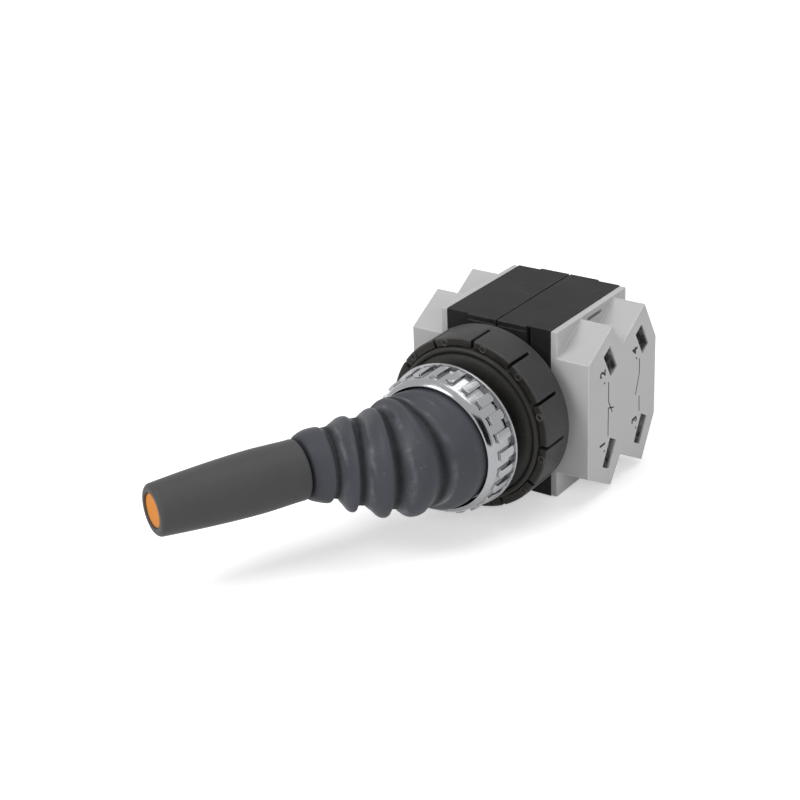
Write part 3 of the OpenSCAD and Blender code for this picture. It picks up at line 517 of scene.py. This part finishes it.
def threaded_neck():
    """The neck from its foot in the disc to its front end, with the thread cut in it."""
    end = -NECK_FRONT
    rows = int((end - NECK_FOOT) / THREAD_ROW) + 1
    heights = [min(NECK_FOOT + THREAD_ROW * i, end) for i in range(rows + 1)]

    def thread(r, h, a):
        if r < NECK_R - SLACK:
            return 0.0
        phase = (h / THREAD_PITCH + a / (2 * math.pi)) % 1.0
        flank = abs(phase - 0.5) * 2
        cut = THREAD_DEPTH * max(0.0, min(1.0, flank * THREAD_FLANK - THREAD_CREST))
        return -cut * max(0.0, min(1.0, (end - THREAD_END - h) / THREAD_RUN_OUT))

    outer = [(NECK_R, h) for h in heights]
    inner = [(NECK_BORE_R, NECK_FOOT), (NECK_BORE_R, end - NECK_EDGE),
             (NECK_BORE_R + NECK_EDGE, end)]
    return lathe([(NECK_R - NECK_EDGE, end)] + outer[::-1] + inner, OUTWARD, sides=128,
                 wobble=thread)


dressed("operator_body", 0.15, change=body_without_neck)
keep("neck_thread", threaded_neck(), MATS["body"], "base")


# Collar with its rough front face, and painted shade on its inner wall and slot walls

# Depth of the rounding that counts as the face, and the radius within which the inner wall and
# the walls of the slots take the face's near-black as painted shade
COLLAR_FACE_DEPTH = 0.12
SLOT_SHADE_R = 23.2

collar = dressed("collar", 0.14, mats=[MATS["collar"], MATS["collar_face_and_shade"]])
# Painted shade: the slot walls and the inner wall get the face's near-black
for poly in collar.data.polygons:
    centre = poly.center
    if (centre.y < (COLLAR_FACE_Y + COLLAR_FACE_DEPTH) * MM
            or math.hypot(centre.x, centre.z) < SLOT_SHADE_R * MM):
        poly.material_index = 1

dressed("gasket", 0.1, angle=45.0)


# Ring nut: the lip's width, its flat rim inside the cone, and what is left of its roundness

NUT_LIP_W = 1.2
LIP_STEP = 0.35
LIP_CROWN = 0.35


def flatten_lip(bm):
    """Draws the nut's rounded front lip towards a polished cone with a slight crown."""
    front = min(v.co.y for v in bm.verts)
    inner = min(math.hypot(v.co.x, v.co.z) for v in bm.verts if v.co.y < front + SLACK * MM)
    for vert in bm.verts:
        back = (vert.co.y - front) / MM
        radius = math.hypot(vert.co.x, vert.co.z)
        step = (radius - inner) / MM - LIP_STEP
        if back > NUT_LIP_L + SLACK or step < SLACK:
            continue
        share = math.asin(max(0.0, min(1.0, 1 - back / NUT_LIP_L))) / (math.pi / 2)
        flat_back = NUT_LIP_L * (1 - share)
        flat_radius = inner + (LIP_STEP + NUT_LIP_W * (1 - share)) * MM
        vert.co.y = front + (flat_back + (back - flat_back) * LIP_CROWN) * MM
        scale = (flat_radius + (radius - flat_radius) * LIP_CROWN) / radius
        vert.co.x *= scale
        vert.co.z *= scale


dressed("ring_nut", 0.13, change=flatten_lip)
dressed("coupling_plate", 0.15)


# Contact blocks: a gap where they meet, and wire windows whose walls get painted shade that grows darker
# inwards

BLOCK_GAP = 0.22
# Depths behind the face over which a window's painted shade darkens, and slack round a window
WINDOW_SHADE = (0.35, 0.85)
WINDOW_SLACK = 0.1


def stand_apart(bm):
    """Draws a case's side at X = 0 back, so that the two blocks show a dark gap."""
    outwards = 1 if sum(v.co.x for v in bm.verts) > 0 else -1
    for vert in bm.verts:
        if abs(vert.co.x) < BLOCK_GAP * MM:
            vert.co.x = outwards * BLOCK_GAP * MM


def in_window(y, z):
    """Whether a point of a cover in millimetres lies in or on one of its four windows."""
    turn = math.radians(WINDOW_TURN if z > 0 else -WINDOW_TURN)
    for centre_y in WINDOW_Y:
        dy, dz = y - centre_y, z - math.copysign(WINDOW_Z, z)
        across = dy * math.cos(turn) + dz * math.sin(turn)
        along = dz * math.cos(turn) - dy * math.sin(turn)
        if (abs(across) < WINDOW_SIZE[0] / 2 + WINDOW_SLACK
                and abs(along) < WINDOW_SIZE[1] / 2 + WINDOW_SLACK):
            return True
    return False


def dark_windows(bm):
    """Paints shade on the windows' walls, darker from just behind the face inwards."""
    painted_shade = bm.verts.layers.float.new("painted_shade")
    side = 1 if sum(v.co.x for v in bm.verts) > 0 else -1
    for depth in WINDOW_SHADE:
        bmesh.ops.bisect_plane(bm, geom=bm.verts[:] + bm.edges[:] + bm.faces[:], dist=JOIN,
                               plane_co=(side * (COVER_FACE_X - depth) * MM, 0, 0),
                               plane_no=(1, 0, 0))
    for vert in bm.verts:
        depth = COVER_FACE_X - abs(vert.co.x) / MM
        # Painted shade on the window walls, from none at the first depth to full at the second
        if in_window(vert.co.y / MM, vert.co.z / MM):
            share = (depth - WINDOW_SHADE[0]) / (WINDOW_SHADE[1] - WINDOW_SHADE[0])
            vert[painted_shade] = max(0.0, min(1.0, share))


for side_name in ("left", "right"):
    dressed("case_" + side_name, 0.2, change=stand_apart, sharp_x=CASE_EDGE_X)
    dressed("frame_" + side_name, 0.2, sharp_x=CASE_EDGE_X)
    dressed("cover_" + side_name, 0.25, finish=dark_windows)


# Printed marks on the covers: terminal numbers and the two contact symbols

INK_T = 0.03
DIGIT_SIZE = 3.9
# A digit's height as a share of its size, and how much its strokes are thickened
DIGIT_TALL = 0.7
DIGIT_SPREAD = 0.13
LINE_W = 0.34
DOT_R = 0.32
# How far a number's dot lies in front of its foot line
DOT_FORWARD = 0.3
# Number, depth of its foot line, height of its dot and middle of its digit
NUMBERS = (("1", 25.5, -11.5, -9.3), ("2", 25.3, 8.5, 11.5), ("3", 43.4, -11.9, -9.1),
           ("4", 43.1, 9.0, 11.6))
# Contact symbols as strokes from (depth, height) to (depth, height)
STROKES = (((27.2, 8.0), (27.3, 2.2)), ((27.3, 2.2), (29.4, -1.5)), ((27.2, 0.4), (30.3, -0.5)),
           ((27.2, 0.4), (27.2, -7.9)), ((44.5, 8.4), (44.6, 3.9)), ((44.6, 3.9), (42.5, -1.8)),
           ((44.7, -2.9), (44.9, -7.6)))


def prism(bm, loop):
    """A closed flat plate of ink over a loop of (depth, height) points."""
    low = [bm.verts.new((COVER_FACE_X * MM, y * MM, z * MM)) for y, z in loop]
    high = [bm.verts.new(((COVER_FACE_X + INK_T) * MM, y * MM, z * MM)) for y, z in loop]
    bm.faces.new(low[::-1])
    bm.faces.new(high)
    for k in range(len(loop)):
        n = (k + 1) % len(loop)
        bm.faces.new((low[k], low[n], high[n], high[k]))


def digit_mesh(text):
    """A digit as a thin plate, centred across and standing on its foot line."""
    curve = bpy.data.curves.new("digit", "FONT")
    curve.body = text
    curve.size = DIGIT_SIZE * MM
    curve.align_x = "CENTER"
    curve.extrude = INK_T * MM / 2
    curve.offset = DIGIT_SPREAD * MM
    curve.resolution_u = 4
    holder = bpy.data.objects.new("digit", curve)
    bpy.context.scene.collection.objects.link(holder)
    made = bpy.data.meshes.new_from_object(
        holder.evaluated_get(bpy.context.evaluated_depsgraph_get()))
    bpy.data.objects.remove(holder)
    bpy.data.curves.remove(curve)
    return made


def marks_mesh(side):
    """The print on the left (side -1) or right cover (side 1)."""
    bm = bmesh.new()
    for (y0, z0), (y1, z1) in STROKES:
        length = math.hypot(y1 - y0, z1 - z0)
        py, pz = (z1 - z0) / length * LINE_W / 2, -(y1 - y0) / length * LINE_W / 2
        prism(bm, [(y0 + py, z0 + pz), (y1 + py, z1 + pz), (y1 - py, z1 - pz), (y0 - py, z0 - pz)])
    for _, foot, dot, _ in NUMBERS:
        prism(bm, [(foot - DOT_FORWARD + y, dot + z) for y, z in arc(0, 0, DOT_R, 0, 330, 11)])
    if side < 0:
        bmesh.ops.transform(bm, matrix=Matrix.Scale(-1, 4, (1, 0, 0)), verts=bm.verts)
    for text, foot, _, middle in NUMBERS:
        flat = digit_mesh(text)
        # Reading upwards, with the digit's head to the front on the right cover
        turn = Matrix(((0.0, 0.0, side), (0.0, -side, 0.0), (1.0, 0.0, 0.0)))
        depth = foot if side > 0 else foot - DIGIT_TALL * DIGIT_SIZE
        place = Matrix.Translation((side * (COVER_FACE_X + INK_T / 2) * MM, depth * MM,
                                    middle * MM)) @ turn.to_4x4()
        flat.transform(place)
        bm.from_mesh(flat)
        bpy.data.meshes.remove(flat)
    bmesh.ops.remove_doubles(bm, verts=bm.verts, dist=JOIN)
    return finished_mesh("marks", bm)


for side_name, side in (("left", -1), ("right", 1)):
    keep("marks_" + side_name, marks_mesh(side), MATS["ink"], "base", smooth=None)


# Raised ring marks on the collar's front face, one beside each slot

RING_MARK_R = 0.85
RING_MARK_WIRE = 0.2
RING_MARK_AT = 22.75
RING_MARK_TURN = 21.5
# How far the middle of a mark's wire lies in front of the collar's face
RING_MARK_LIFT = 0.04


def ring_marks():
    """Geometry Nodes: small rings placed round the collar's axis."""
    group = bpy.data.node_groups.new("Ring marks", "GeometryNodeTree")
    for label, kind, value in (("Count", "NodeSocketInt", SLOT_COUNT),
                               ("Mark radius", "NodeSocketFloat", RING_MARK_R * MM),
                               ("Wire radius", "NodeSocketFloat", RING_MARK_WIRE * MM),
                               ("Place radius", "NodeSocketFloat", RING_MARK_AT * MM),
                               ("Turn", "NodeSocketFloat",
                                math.radians(SLOT_TURN + RING_MARK_TURN))):
        socket = group.interface.new_socket(name=label, in_out="INPUT", socket_type=kind)
        socket.default_value = value
    group.interface.new_socket(name="Geometry", in_out="OUTPUT",
                               socket_type="NodeSocketGeometry")
    t = Tree(group)
    given = t.node("NodeGroupInput").outputs
    path = t.node("GeometryNodeCurvePrimitiveCircle")
    path.inputs["Resolution"].default_value = 20
    t.put(given["Mark radius"], path.inputs["Radius"])
    wire = t.node("GeometryNodeCurvePrimitiveCircle")
    wire.inputs["Resolution"].default_value = 8
    t.put(given["Wire radius"], wire.inputs["Radius"])
    ring = t.node("GeometryNodeCurveToMesh")
    t.put(path.outputs["Curve"], ring.inputs["Curve"])
    t.put(wire.outputs["Curve"], ring.inputs["Profile Curve"])
    spots = t.node("GeometryNodePoints")
    t.put(given["Count"], spots.inputs["Count"])
    angle = t.math("ADD", t.math("DIVIDE", t.math(
        "MULTIPLY", t.node("GeometryNodeInputIndex").outputs[0], 2 * math.pi), given["Count"]),
        given["Turn"])
    place = t.node("ShaderNodeCombineXYZ")
    t.put(t.math("MULTIPLY", t.math("COSINE", angle), given["Place radius"]), place.inputs["X"])
    t.put(t.math("MULTIPLY", t.math("SINE", angle), given["Place radius"]), place.inputs["Y"])
    t.put(place.outputs[0], spots.inputs["Position"])
    copies = t.node("GeometryNodeInstanceOnPoints")
    t.put(spots.outputs[0], copies.inputs["Points"])
    t.put(ring.outputs[0], copies.inputs["Instance"])
    real = t.node("GeometryNodeRealizeInstances")
    t.put(copies.outputs[0], real.inputs[0])
    paint = t.node("GeometryNodeSetMaterial")
    paint.inputs["Material"].default_value = MATS["ring_mark"]
    t.put(real.outputs[0], paint.inputs["Geometry"])
    t.put(paint.outputs[0], t.node("NodeGroupOutput").inputs["Geometry"])
    return group


def from_nodes(group, matrix):
    """The mesh that a Geometry Nodes tree makes by itself, moved by a matrix."""
    holder = bpy.data.objects.new("holder", bpy.data.meshes.new("holder"))
    bpy.context.scene.collection.objects.link(holder)
    holder.modifiers.new("nodes", "NODES").node_group = group
    made = bpy.data.meshes.new_from_object(
        holder.evaluated_get(bpy.context.evaluated_depsgraph_get()))
    bpy.data.objects.remove(holder)
    made.transform(matrix)
    return made


keep("collar_ring_marks",
     from_nodes(ring_marks(),
                Matrix.Translation((0, (COLLAR_FACE_Y - RING_MARK_LIFT) * MM, 0)) @ OUTWARD),
     MATS["ring_mark"], "base", smooth=60.0)


# Grip: one lathe with the CAD's outline, and a cap with a rounded rim

SPIGOT_S = 46.4
SPIGOT_R = 5.3
ROD_END_S = 84.0
ROD_BORE_R = 2.2
GRIP_REAR_R = 8.0
GRIP_REAR_ROUND = 0.9
GRIP_WIDEST_R = 8.25
GRIP_WIDEST_S = GRIP_START + 12.0
GRIP_TIP_R = 6.8
GRIP_TIP_ROUND = 1.3
# How late the grip narrows on its way to the tip
GRIP_TAPER = 1.6
# The cap's seat: radius and depth below the grip's end
CAP_SEAT = ((4.75, 0.0), (4.6, 0.12), (4.55, 0.35), (4.55, 1.5), (2.0, 1.5))
# How deep the cap sits, and its outline over the rim and down the peg: radius and depth
CAP_SUNK = 0.3
CAP_OUTLINE = ((0.02, 0.0), (2.0, 0.0), (3.9, 0.02), (4.3, 0.08), (4.47, 0.25), (4.5, 0.6),
               (4.5, 1.2), (2.0, 1.2), (2.0, 4.8), (0.02, 4.8))


def grip_profile():
    """The grip's outline from the rod's bore over the spigot to the cap's seat."""
    rear, widest, tip = GRIP_REAR_R, GRIP_WIDEST_R, GRIP_TIP_R
    start, mid = GRIP_START + GRIP_REAR_ROUND, GRIP_WIDEST_S
    end = GRIP_END - GRIP_TIP_ROUND
    points = [(ROD_BORE_R, SPIGOT_S), (SPIGOT_R, SPIGOT_S), (SPIGOT_R, GRIP_START)]
    points += arc(rear - GRIP_REAR_ROUND, start, GRIP_REAR_ROUND, -90, 0, 8)
    for i in range(1, 8):
        t = i / 8
        points.append((rear + (widest - rear) * (1 - math.cos(math.pi * t)) / 2,
                       start + (mid - GRIP_START - GRIP_REAR_ROUND) * t))
    for i in range(15):
        t = i / 14
        points.append((widest + (tip - widest) * t ** GRIP_TAPER, mid + (end - mid) * t))
    points += arc(tip - GRIP_TIP_ROUND, end, GRIP_TIP_ROUND, 8, 90, 8)
    points += [(r, GRIP_END - depth) for r, depth in CAP_SEAT]
    return points + [(CAP_SEAT[-1][0], ROD_END_S), (ROD_BORE_R, ROD_END_S)]


def cap_profile():
    """The cap's outline from the middle of its face round to the middle of its peg's end."""
    top = GRIP_END - CAP_SUNK
    return [(r, top - depth) for r, depth in CAP_OUTLINE]


keep("grip_lathe", lathe(grip_profile(), LEVER, sides=112), MATS["grip"], "lever", ["grip"])
keep("cap_lathe", lathe(cap_profile(), LEVER, sides=72), MATS["cap"], "lever", ["grip_cap"])


# Bellows: a sleeve with four folds, bent from the neck to the lever in its rest position

BOOT_BASE_R = 16.3
# Length of the plain skirt inside the nut
BOOT_SKIRT_L = 2.5
# Crests and valleys from the base to the grip, as shares of the way from grip to nut
CRESTS = [(0.70, 14.6), (0.54, 13.8), (0.352, 12.1), (0.168, 9.8)]
VALLEYS = [(0.79, 12.9), (0.6, 11.5), (0.418, 10.0), (0.238, 8.4)]
# The small end: how far from its rim the last flank meets it, its radius there, and its
# outer rim as distances and radii
TAIL_BACK = 0.4
TAIL_R = 7.7
TAIL_RIM = ((0.1, 7.3), (0.0, 6.9))
# Inside: the skirt with its bead in the neck's groove as stations and radii, the snug small
# end as distances from its rim and radii, and how far from the rim the plain wall begins
BOOT_WALL = 1.0
SKIRT = ((BOOT_START_S - 0.2, 15.25), (18.2, 15.25), (17.9, 14.55), (17.3, 14.55),
         (17.0, 15.25), (BOOT_FOOT_S, 15.25))
SNUG = ((0.0, 5.5), (1.2, 5.5), (2.8, 5.7))
SNUG_L = 3.2
# Forms of the folds: how full the dome stays between the nut and the last fold, how flat a
# valley's floor and how broad a crest is, and how round the last flank runs down to the grip
DOME_FULL = 1.5
VALLEY_FLOOR = 0.2
CREST_BREADTH = 1.3
TAIL_ROUND = 1.25
FOLD_STEPS = 16
# How the folds lie in the bend: their lean in degrees, how far it keeps to the middle and how
# much more so where they are pressed together, how much less they lean there, and how far they
# sag to one side and swell
FOLD_LEAN = 28.0
LEAN_SPREAD = 1.5
PRESSED_SPREAD = 0.8
PRESSED_LESS = 0.4
FOLD_SAG = 0.7
SWELL = 2.0
# Share of a valley's depth that is filled where the folds are pressed together or stretched
PRESSED_FILL = 0.6
STRETCHED_FILL = 0.35
# How soon the filling is full on the way round to the middle of the pressed side
PRESSED_SOON = 1.5
# Fine ridges beside each valley: height, distance from the valley and half width
RIDGES = ((0.12, 0.35, 0.16), (0.38, 1.45, 0.40))
# The dome's bulge over the nut: height, angle about the axis, and middle and spread along it
BULGE = (2.7, math.radians(143.0), 0.21, 0.13)
# The mould's two parting lines: their angles, height and half width, and the radius from
# which they show
PARTING_ANGLES = (math.radians(-46.0), math.radians(134.0))
PARTING_HEIGHT = 0.09
PARTING_WIDTH = 0.22
PARTING_FROM_R = 7.25
# Height of the slow waves all over it, and how quickly they change along it and round it
UNEVEN = 0.05
UNEVEN_RATES = (0.35, 3.0)
# Looks: how far a valley's painted shade reaches and how much of it a ridge keeps off, how dark
# the painted shade on the small end is, and how bright a ridge's painted highlight is at least
# and by streaks
VALLEY_SHADE = 0.9
RIDGE_CLEAR = 0.8
TAIL_SHADE = 0.8
RIDGE_HIGHLIGHT = 0.55
HIGHLIGHT_STREAKS = 1.6
STREAK_RATES = (1.5, 2.2)
STREAK_SHIFT = 7.0


def smoothstep(t):
    t = max(0.0, min(1.0, t))
    return t * t * (3 - 2 * t)


def boot_outer():
    """Station, radius, painted shade and ridge of each ring from the base to the small end."""
    way = BOOT_TOP_S - BOOT_START_S
    knots = [(BOOT_START_S, BOOT_BASE_R)]
    for valley, crest in zip(VALLEYS, CRESTS):
        knots += [(BOOT_TOP_S - way * share, radius) for share, radius in (valley, crest)]
    out = [(BOOT_FOOT_S, BOOT_BASE_R, 0.0, 0.0),
           (BOOT_FOOT_S + BOOT_SKIRT_L, BOOT_BASE_R, 0.0, 0.0)]
    for (s0, r0), (s1, r1) in zip(knots, knots[1:]):
        rising = r0 < r1
        for k in range(FOLD_STEPS):
            t = k / FOLD_STEPS
            q = (t - VALLEY_FLOOR if rising else t) / (1 - VALLEY_FLOOR)
            q = max(0.0, min(1.0, q)) ** (DOME_FULL if s0 == BOOT_START_S else 1.0)
            w = (1 - math.cos(math.pi * q)) / 2
            w = 1 - (1 - w) ** CREST_BREADTH if rising else w ** CREST_BREADTH
            low = (t if rising else 1 - t) * (s1 - s0)
            shapes = [(height, math.exp(-((low - at) / half) ** 2))
                      for height, at, half in (RIDGES[:1] if rising else RIDGES)]
            ridge = 0.0 if rising else shapes[-1][1]
            # The third value is painted shade, strongest on a valley's floor and kept off a ridge
            out.append((s0 + (s1 - s0) * t,
                        r0 + (r1 - r0) * w + sum(height * shape for height, shape in shapes),
                        math.exp(-(low / VALLEY_SHADE) ** 2) * (1 - RIDGE_CLEAR * ridge), ridge))
    # The first fold's front flank runs in one round down to the grip
    crest_s, crest_r = knots[-1]
    for k in range(FOLD_STEPS + 1):
        t = k / FOLD_STEPS
        along = math.sin(math.pi / 2 * t) ** TAIL_ROUND
        across = math.cos(math.pi / 2 * t) ** TAIL_ROUND
        # The small end gets painted shade, darker towards its rim
        out.append((crest_s + (BOOT_TOP_S - TAIL_BACK - crest_s) * along,
                    TAIL_R + (crest_r - TAIL_R) * across, TAIL_SHADE * t ** 4, 0.0))
    return out + [(BOOT_TOP_S - back, r, TAIL_SHADE, 0.0) for back, r in TAIL_RIM]


def boot_inner(outer):
    """Station and radius of each inner ring from the small end to the base, a wall inside
    the outer rings."""
    rings = [(BOOT_TOP_S - back, r) for back, r in SNUG]
    rings += [(s, r - BOOT_WALL) for s, r, _, _ in outer[::3]
              if BOOT_START_S < s < BOOT_TOP_S - SNUG_L][::-1]
    return rings + list(SKIRT)


def envelope(s):
    """Radius of the straight lines over the crests at a station."""
    way = BOOT_TOP_S - BOOT_START_S
    tops = [(BOOT_START_S, BOOT_BASE_R)]
    tops += [(BOOT_TOP_S - way * share, r) for share, r in CRESTS]
    for (s0, r0), (s1, r1) in zip(tops, tops[1:]):
        if s0 <= s <= s1:
            return r0 + (r1 - r0) * (s - s0) / (s1 - s0)
    return 0.0


def bent(s, r, a, outside):
    """A point of the bellows in the rest pose, in metres. The rings over the crests lean,
    and each valley lies straight below them towards the lever's axis."""
    over = envelope(s) or r
    if outside:
        filled = PRESSED_FILL * max(0.0, min(1.0, -PRESSED_SOON * math.cos(a)))
        filled += STRETCHED_FILL * max(0.0, math.cos(a)) ** 2
        r += filled * max(0.0, over - r)
    t = max(0.0, min(1.0, (s - BOOT_START_S) / (BOOT_BEND_END_S - BOOT_START_S)))
    turn = math.radians(TILT * smoothstep(t))
    middle_way = math.sin(math.pi * t)
    pressed = max(0.0, -math.cos(a))
    leaning = middle_way ** (LEAN_SPREAD + PRESSED_SPREAD * pressed ** 2)
    lean = turn + math.radians(FOLD_LEAN) * (leaning * (1 - PRESSED_LESS * pressed ** 4))
    height, where, middle, spread = BULGE
    below = r - over
    over += SWELL * pressed ** 3 * middle_way ** 2
    over += height * max(0.0, math.cos(a - where)) ** 3 * math.exp(-((t - middle) / spread) ** 2)
    s = s - FOLD_SAG * middle_way * math.sin(a)
    across = over * math.cos(lean) + below * math.cos(turn)
    forward = over * math.sin(lean) + below * math.sin(turn)
    return Vector((-s * math.sin(turn) + across * math.cos(a),
                   PIVOT_Y - s * math.cos(turn) - forward * math.cos(a),
                   (over + below) * math.sin(a))) * MM


def waves(s, a, rates, shift=0.0):
    """Noise at a station and an angle that changes at its own rates along and round."""
    along, across = rates
    return noise.noise(Vector((s * along, across * math.cos(a), across * math.sin(a) + shift)))


def unevenness(s, r, a):
    """What is added to the radius: slow waves, and the mould's parting lines."""
    extra = UNEVEN * waves(s, a, UNEVEN_RATES)
    if r > PARTING_FROM_R:
        for parting in PARTING_ANGLES:
            off = (a - parting + math.pi) % (2 * math.pi) - math.pi
            extra += PARTING_HEIGHT * math.exp(-(off * r / PARTING_WIDTH) ** 2)
    return extra


def boot_mesh(sides=256):
    """The bellows with its painted shade in the valleys and painted highlights on its ridges as values of
    its points.
    """
    outer = boot_outer()
    loop = outer + [(s, r, 0.0, 0.0) for s, r in boot_inner(outer)]
    bm = bmesh.new()
    painted_shade = bm.verts.layers.float.new("painted_shade")
    ridge_highlight = bm.verts.layers.float.new("edge")
    rings = []
    for i, (s, r, depth, ridge) in enumerate(loop):
        ring = []
        for k in range(sides):
            a = 2 * math.pi * k / sides
            vert = bm.verts.new(bent(s, r + unevenness(s, r, a), a, i < len(outer)))
            vert[painted_shade] = depth
            # Painted highlight on the ridges, brighter in streaks
            streak = waves(s, a, STREAK_RATES, STREAK_SHIFT)
            vert[ridge_highlight] = max(0.0, ridge * (RIDGE_HIGHLIGHT + HIGHLIGHT_STREAKS * streak))
            ring.append(vert)
        rings.append(ring)
    closed_skin(bm, rings)
    return finished_mesh("bellows", bm)


# It starts to move a little inside the nut, so that its folds keep up with the rod
BOOT_MOVE_START_S = 17.8

boot = keep("bellows", boot_mesh(), MATS["boot"], None, ["boot"], smooth=60.0)
tip = math.radians(TILT)
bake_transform(boot, "base", "lever", start=(0.0, (PIVOT_Y - BOOT_MOVE_START_S) * MM, 0.0),
         end=(-BOOT_BEND_END_S * math.sin(tip) * MM,
              (PIVOT_Y - BOOT_BEND_END_S * math.cos(tip)) * MM, 0.0))


# Return springs: each reaches from its case to its carriage, and changes length with it

for side_name in ("left", "right"):
    node_name = "return_spring_" + side_name
    coil_mesh = bpy.data.objects[node_name].data.copy()
    along = [vert.co.y for vert in coil_mesh.vertices]
    coil = keep("return_coil_" + side_name, coil_mesh, MATS["steel"], None, [node_name])
    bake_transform(coil, "base", "slider_" + side_name, start=(0.0, max(along), 0.0),
             end=(0.0, min(along), 0.0))


# Camera and floor

AZIMUTH, ELEVATION, ROLL = math.radians(35.511), math.radians(24.662), math.radians(-2.237)
BACK = Vector((math.sin(AZIMUTH) * math.cos(ELEVATION), -math.cos(AZIMUTH) * math.cos(ELEVATION),
               math.sin(ELEVATION)))
RIGHT = Vector((math.cos(AZIMUTH), math.sin(AZIMUTH), 0.0))
UP = BACK.cross(RIGHT)
ACROSS = RIGHT * math.cos(ROLL) + UP * math.sin(ROLL)
ALOFT = UP * math.cos(ROLL) - RIGHT * math.sin(ROLL)

CAMERA_AT = (0.23785, -0.36274, 0.20699)
LENS = 82.18

camera_data = bpy.data.cameras.new("camera")
camera_data.sensor_width = 36.0
camera_data.lens = LENS
camera_data.clip_start = 0.01
camera = bpy.data.objects.new("camera", camera_data)
camera.matrix_world = Matrix.Translation(CAMERA_AT) @ Matrix(
    (ACROSS, ALOFT, BACK)).transposed().to_4x4()
bpy.context.scene.collection.objects.link(camera)
bpy.context.scene.camera = camera


def plane(name, corners, mat):
    """A plane over four corners that stands round the part."""
    mesh = bpy.data.meshes.new(name)
    mesh.from_pydata(corners, [], [(0, 1, 2, 3)])
    mesh.materials.append(mat)
    obj = bpy.data.objects.new(name, mesh)
    bpy.context.scene.collection.objects.link(obj)
    return obj


def seen_directly(t):
    """1 for rays that come from the camera, straight, mirrored or through a clear body."""
    rays = t.node("ShaderNodeLightPath").outputs
    return t.math("MAXIMUM", rays["Is Camera Ray"],
                  t.math("MAXIMUM", rays["Is Glossy Ray"], rays["Is Transmission Ray"]))


FLOOR_Z = -0.0244
FLOOR_HALF = 3.0
# The floor glows from one strength to another between two distances from its middle
GLOW_REACH = (0.1, 0.6)
GLOW = (0.45, 0.74)


def floor_material():
    """A pale floor that shows as white as the background and keeps the object's shadow."""
    mat = bpy.data.materials.new("Pale floor")
    mat.use_nodes = True
    t = Tree(mat.node_tree)
    shader = mat.node_tree.nodes["Principled BSDF"]
    for label, value in (("Base Color", grey(0.93)), ("Roughness", 0.9),
                         ("Specular IOR Level", 0.0), ("Emission Color", grey(1.0))):
        shader.inputs[label].default_value = value
    # Farther out, where less light falls, it glows a little more, so that no horizon shows
    away = t.node("ShaderNodeVectorMath", operation="LENGTH")
    t.put(t.node("ShaderNodeTexCoord").outputs["Object"], away.inputs[0])
    t.put(t.math("MULTIPLY", seen_directly(t), t.ramp(away.outputs["Value"], *GLOW_REACH, *GLOW)),
          shader.inputs["Emission Strength"])
    # Seen from below it is clear
    clear = t.node("ShaderNodeMixShader")
    t.put(t.node("ShaderNodeNewGeometry").outputs["Backfacing"], clear.inputs["Fac"])
    t.put(shader.outputs["BSDF"], clear.inputs[1])
    t.put(t.node("ShaderNodeBsdfTransparent").outputs["BSDF"], clear.inputs[2])
    t.put(clear.outputs["Shader"], mat.node_tree.nodes["Material Output"].inputs["Surface"])
    return mat


floor = plane("floor", [(i * FLOOR_HALF, k * FLOOR_HALF, FLOOR_Z)
                        for i, k in ((-1, -1), (1, -1), (1, 1), (-1, 1))], floor_material())


# A dark studio card in front to the right, which only polished metal shows

CARD_AIM = (0.89, -0.44, 0.22)
CARD_AWAY = 0.6
CARD_SIZE = (0.46, 0.62)

aim = Vector(CARD_AIM).normalized()
level_side = Vector((-aim.y, aim.x, 0.0)).normalized()
upright = aim.cross(level_side)
card = plane("dark_card", [aim * CARD_AWAY + level_side * CARD_SIZE[0] / 2 * i
                           + upright * CARD_SIZE[1] / 2 * k
                           for i, k in ((-1, -1), (1, -1), (1, 1), (-1, 1))], MATS["ink"])
card.visible_camera = card.visible_diffuse = card.visible_shadow = False


# Lights and background

CENTRE = (0.0, -0.01, 0.0)
# How light the background is to the part; to the eye it is white
AMBIENT = 0.33


def area_light(name, place, size, power, shown=True):
    """A rectangular light that shines at the object, and is shown in polished metal or not."""
    data = bpy.data.lights.new(name, "AREA")
    data.shape = "RECTANGLE"
    data.size, data.size_y = size
    data.energy = power
    lamp = bpy.data.objects.new(name, data)
    lamp.visible_glossy = shown
    lamp.location = place
    lamp.rotation_euler = (Vector(CENTRE) - Vector(place)).to_track_quat("-Z", "Y").to_euler()
    bpy.context.scene.collection.objects.link(lamp)


area_light("key", (-0.3, -0.55, 0.6), (0.45, 0.45), 3.5)
area_light("fill", (0.7, -0.35, 0.35), (0.5, 0.5), 1.5, shown=False)
area_light("top", (0.1, 0.25, 0.8), (0.6, 0.4), 2.0)

world = bpy.data.worlds.new("Studio")
world.use_nodes = True
bpy.context.scene.world = world
w = Tree(world.node_tree)
backdrop = world.node_tree.nodes["Background"]
w.put(w.mix(seen_directly(w), grey(AMBIENT), grey(1.0)), backdrop.inputs["Color"])
backdrop.inputs["Strength"].default_value = 1.0
bpy.context.scene.view_settings.view_transform = "Standard"
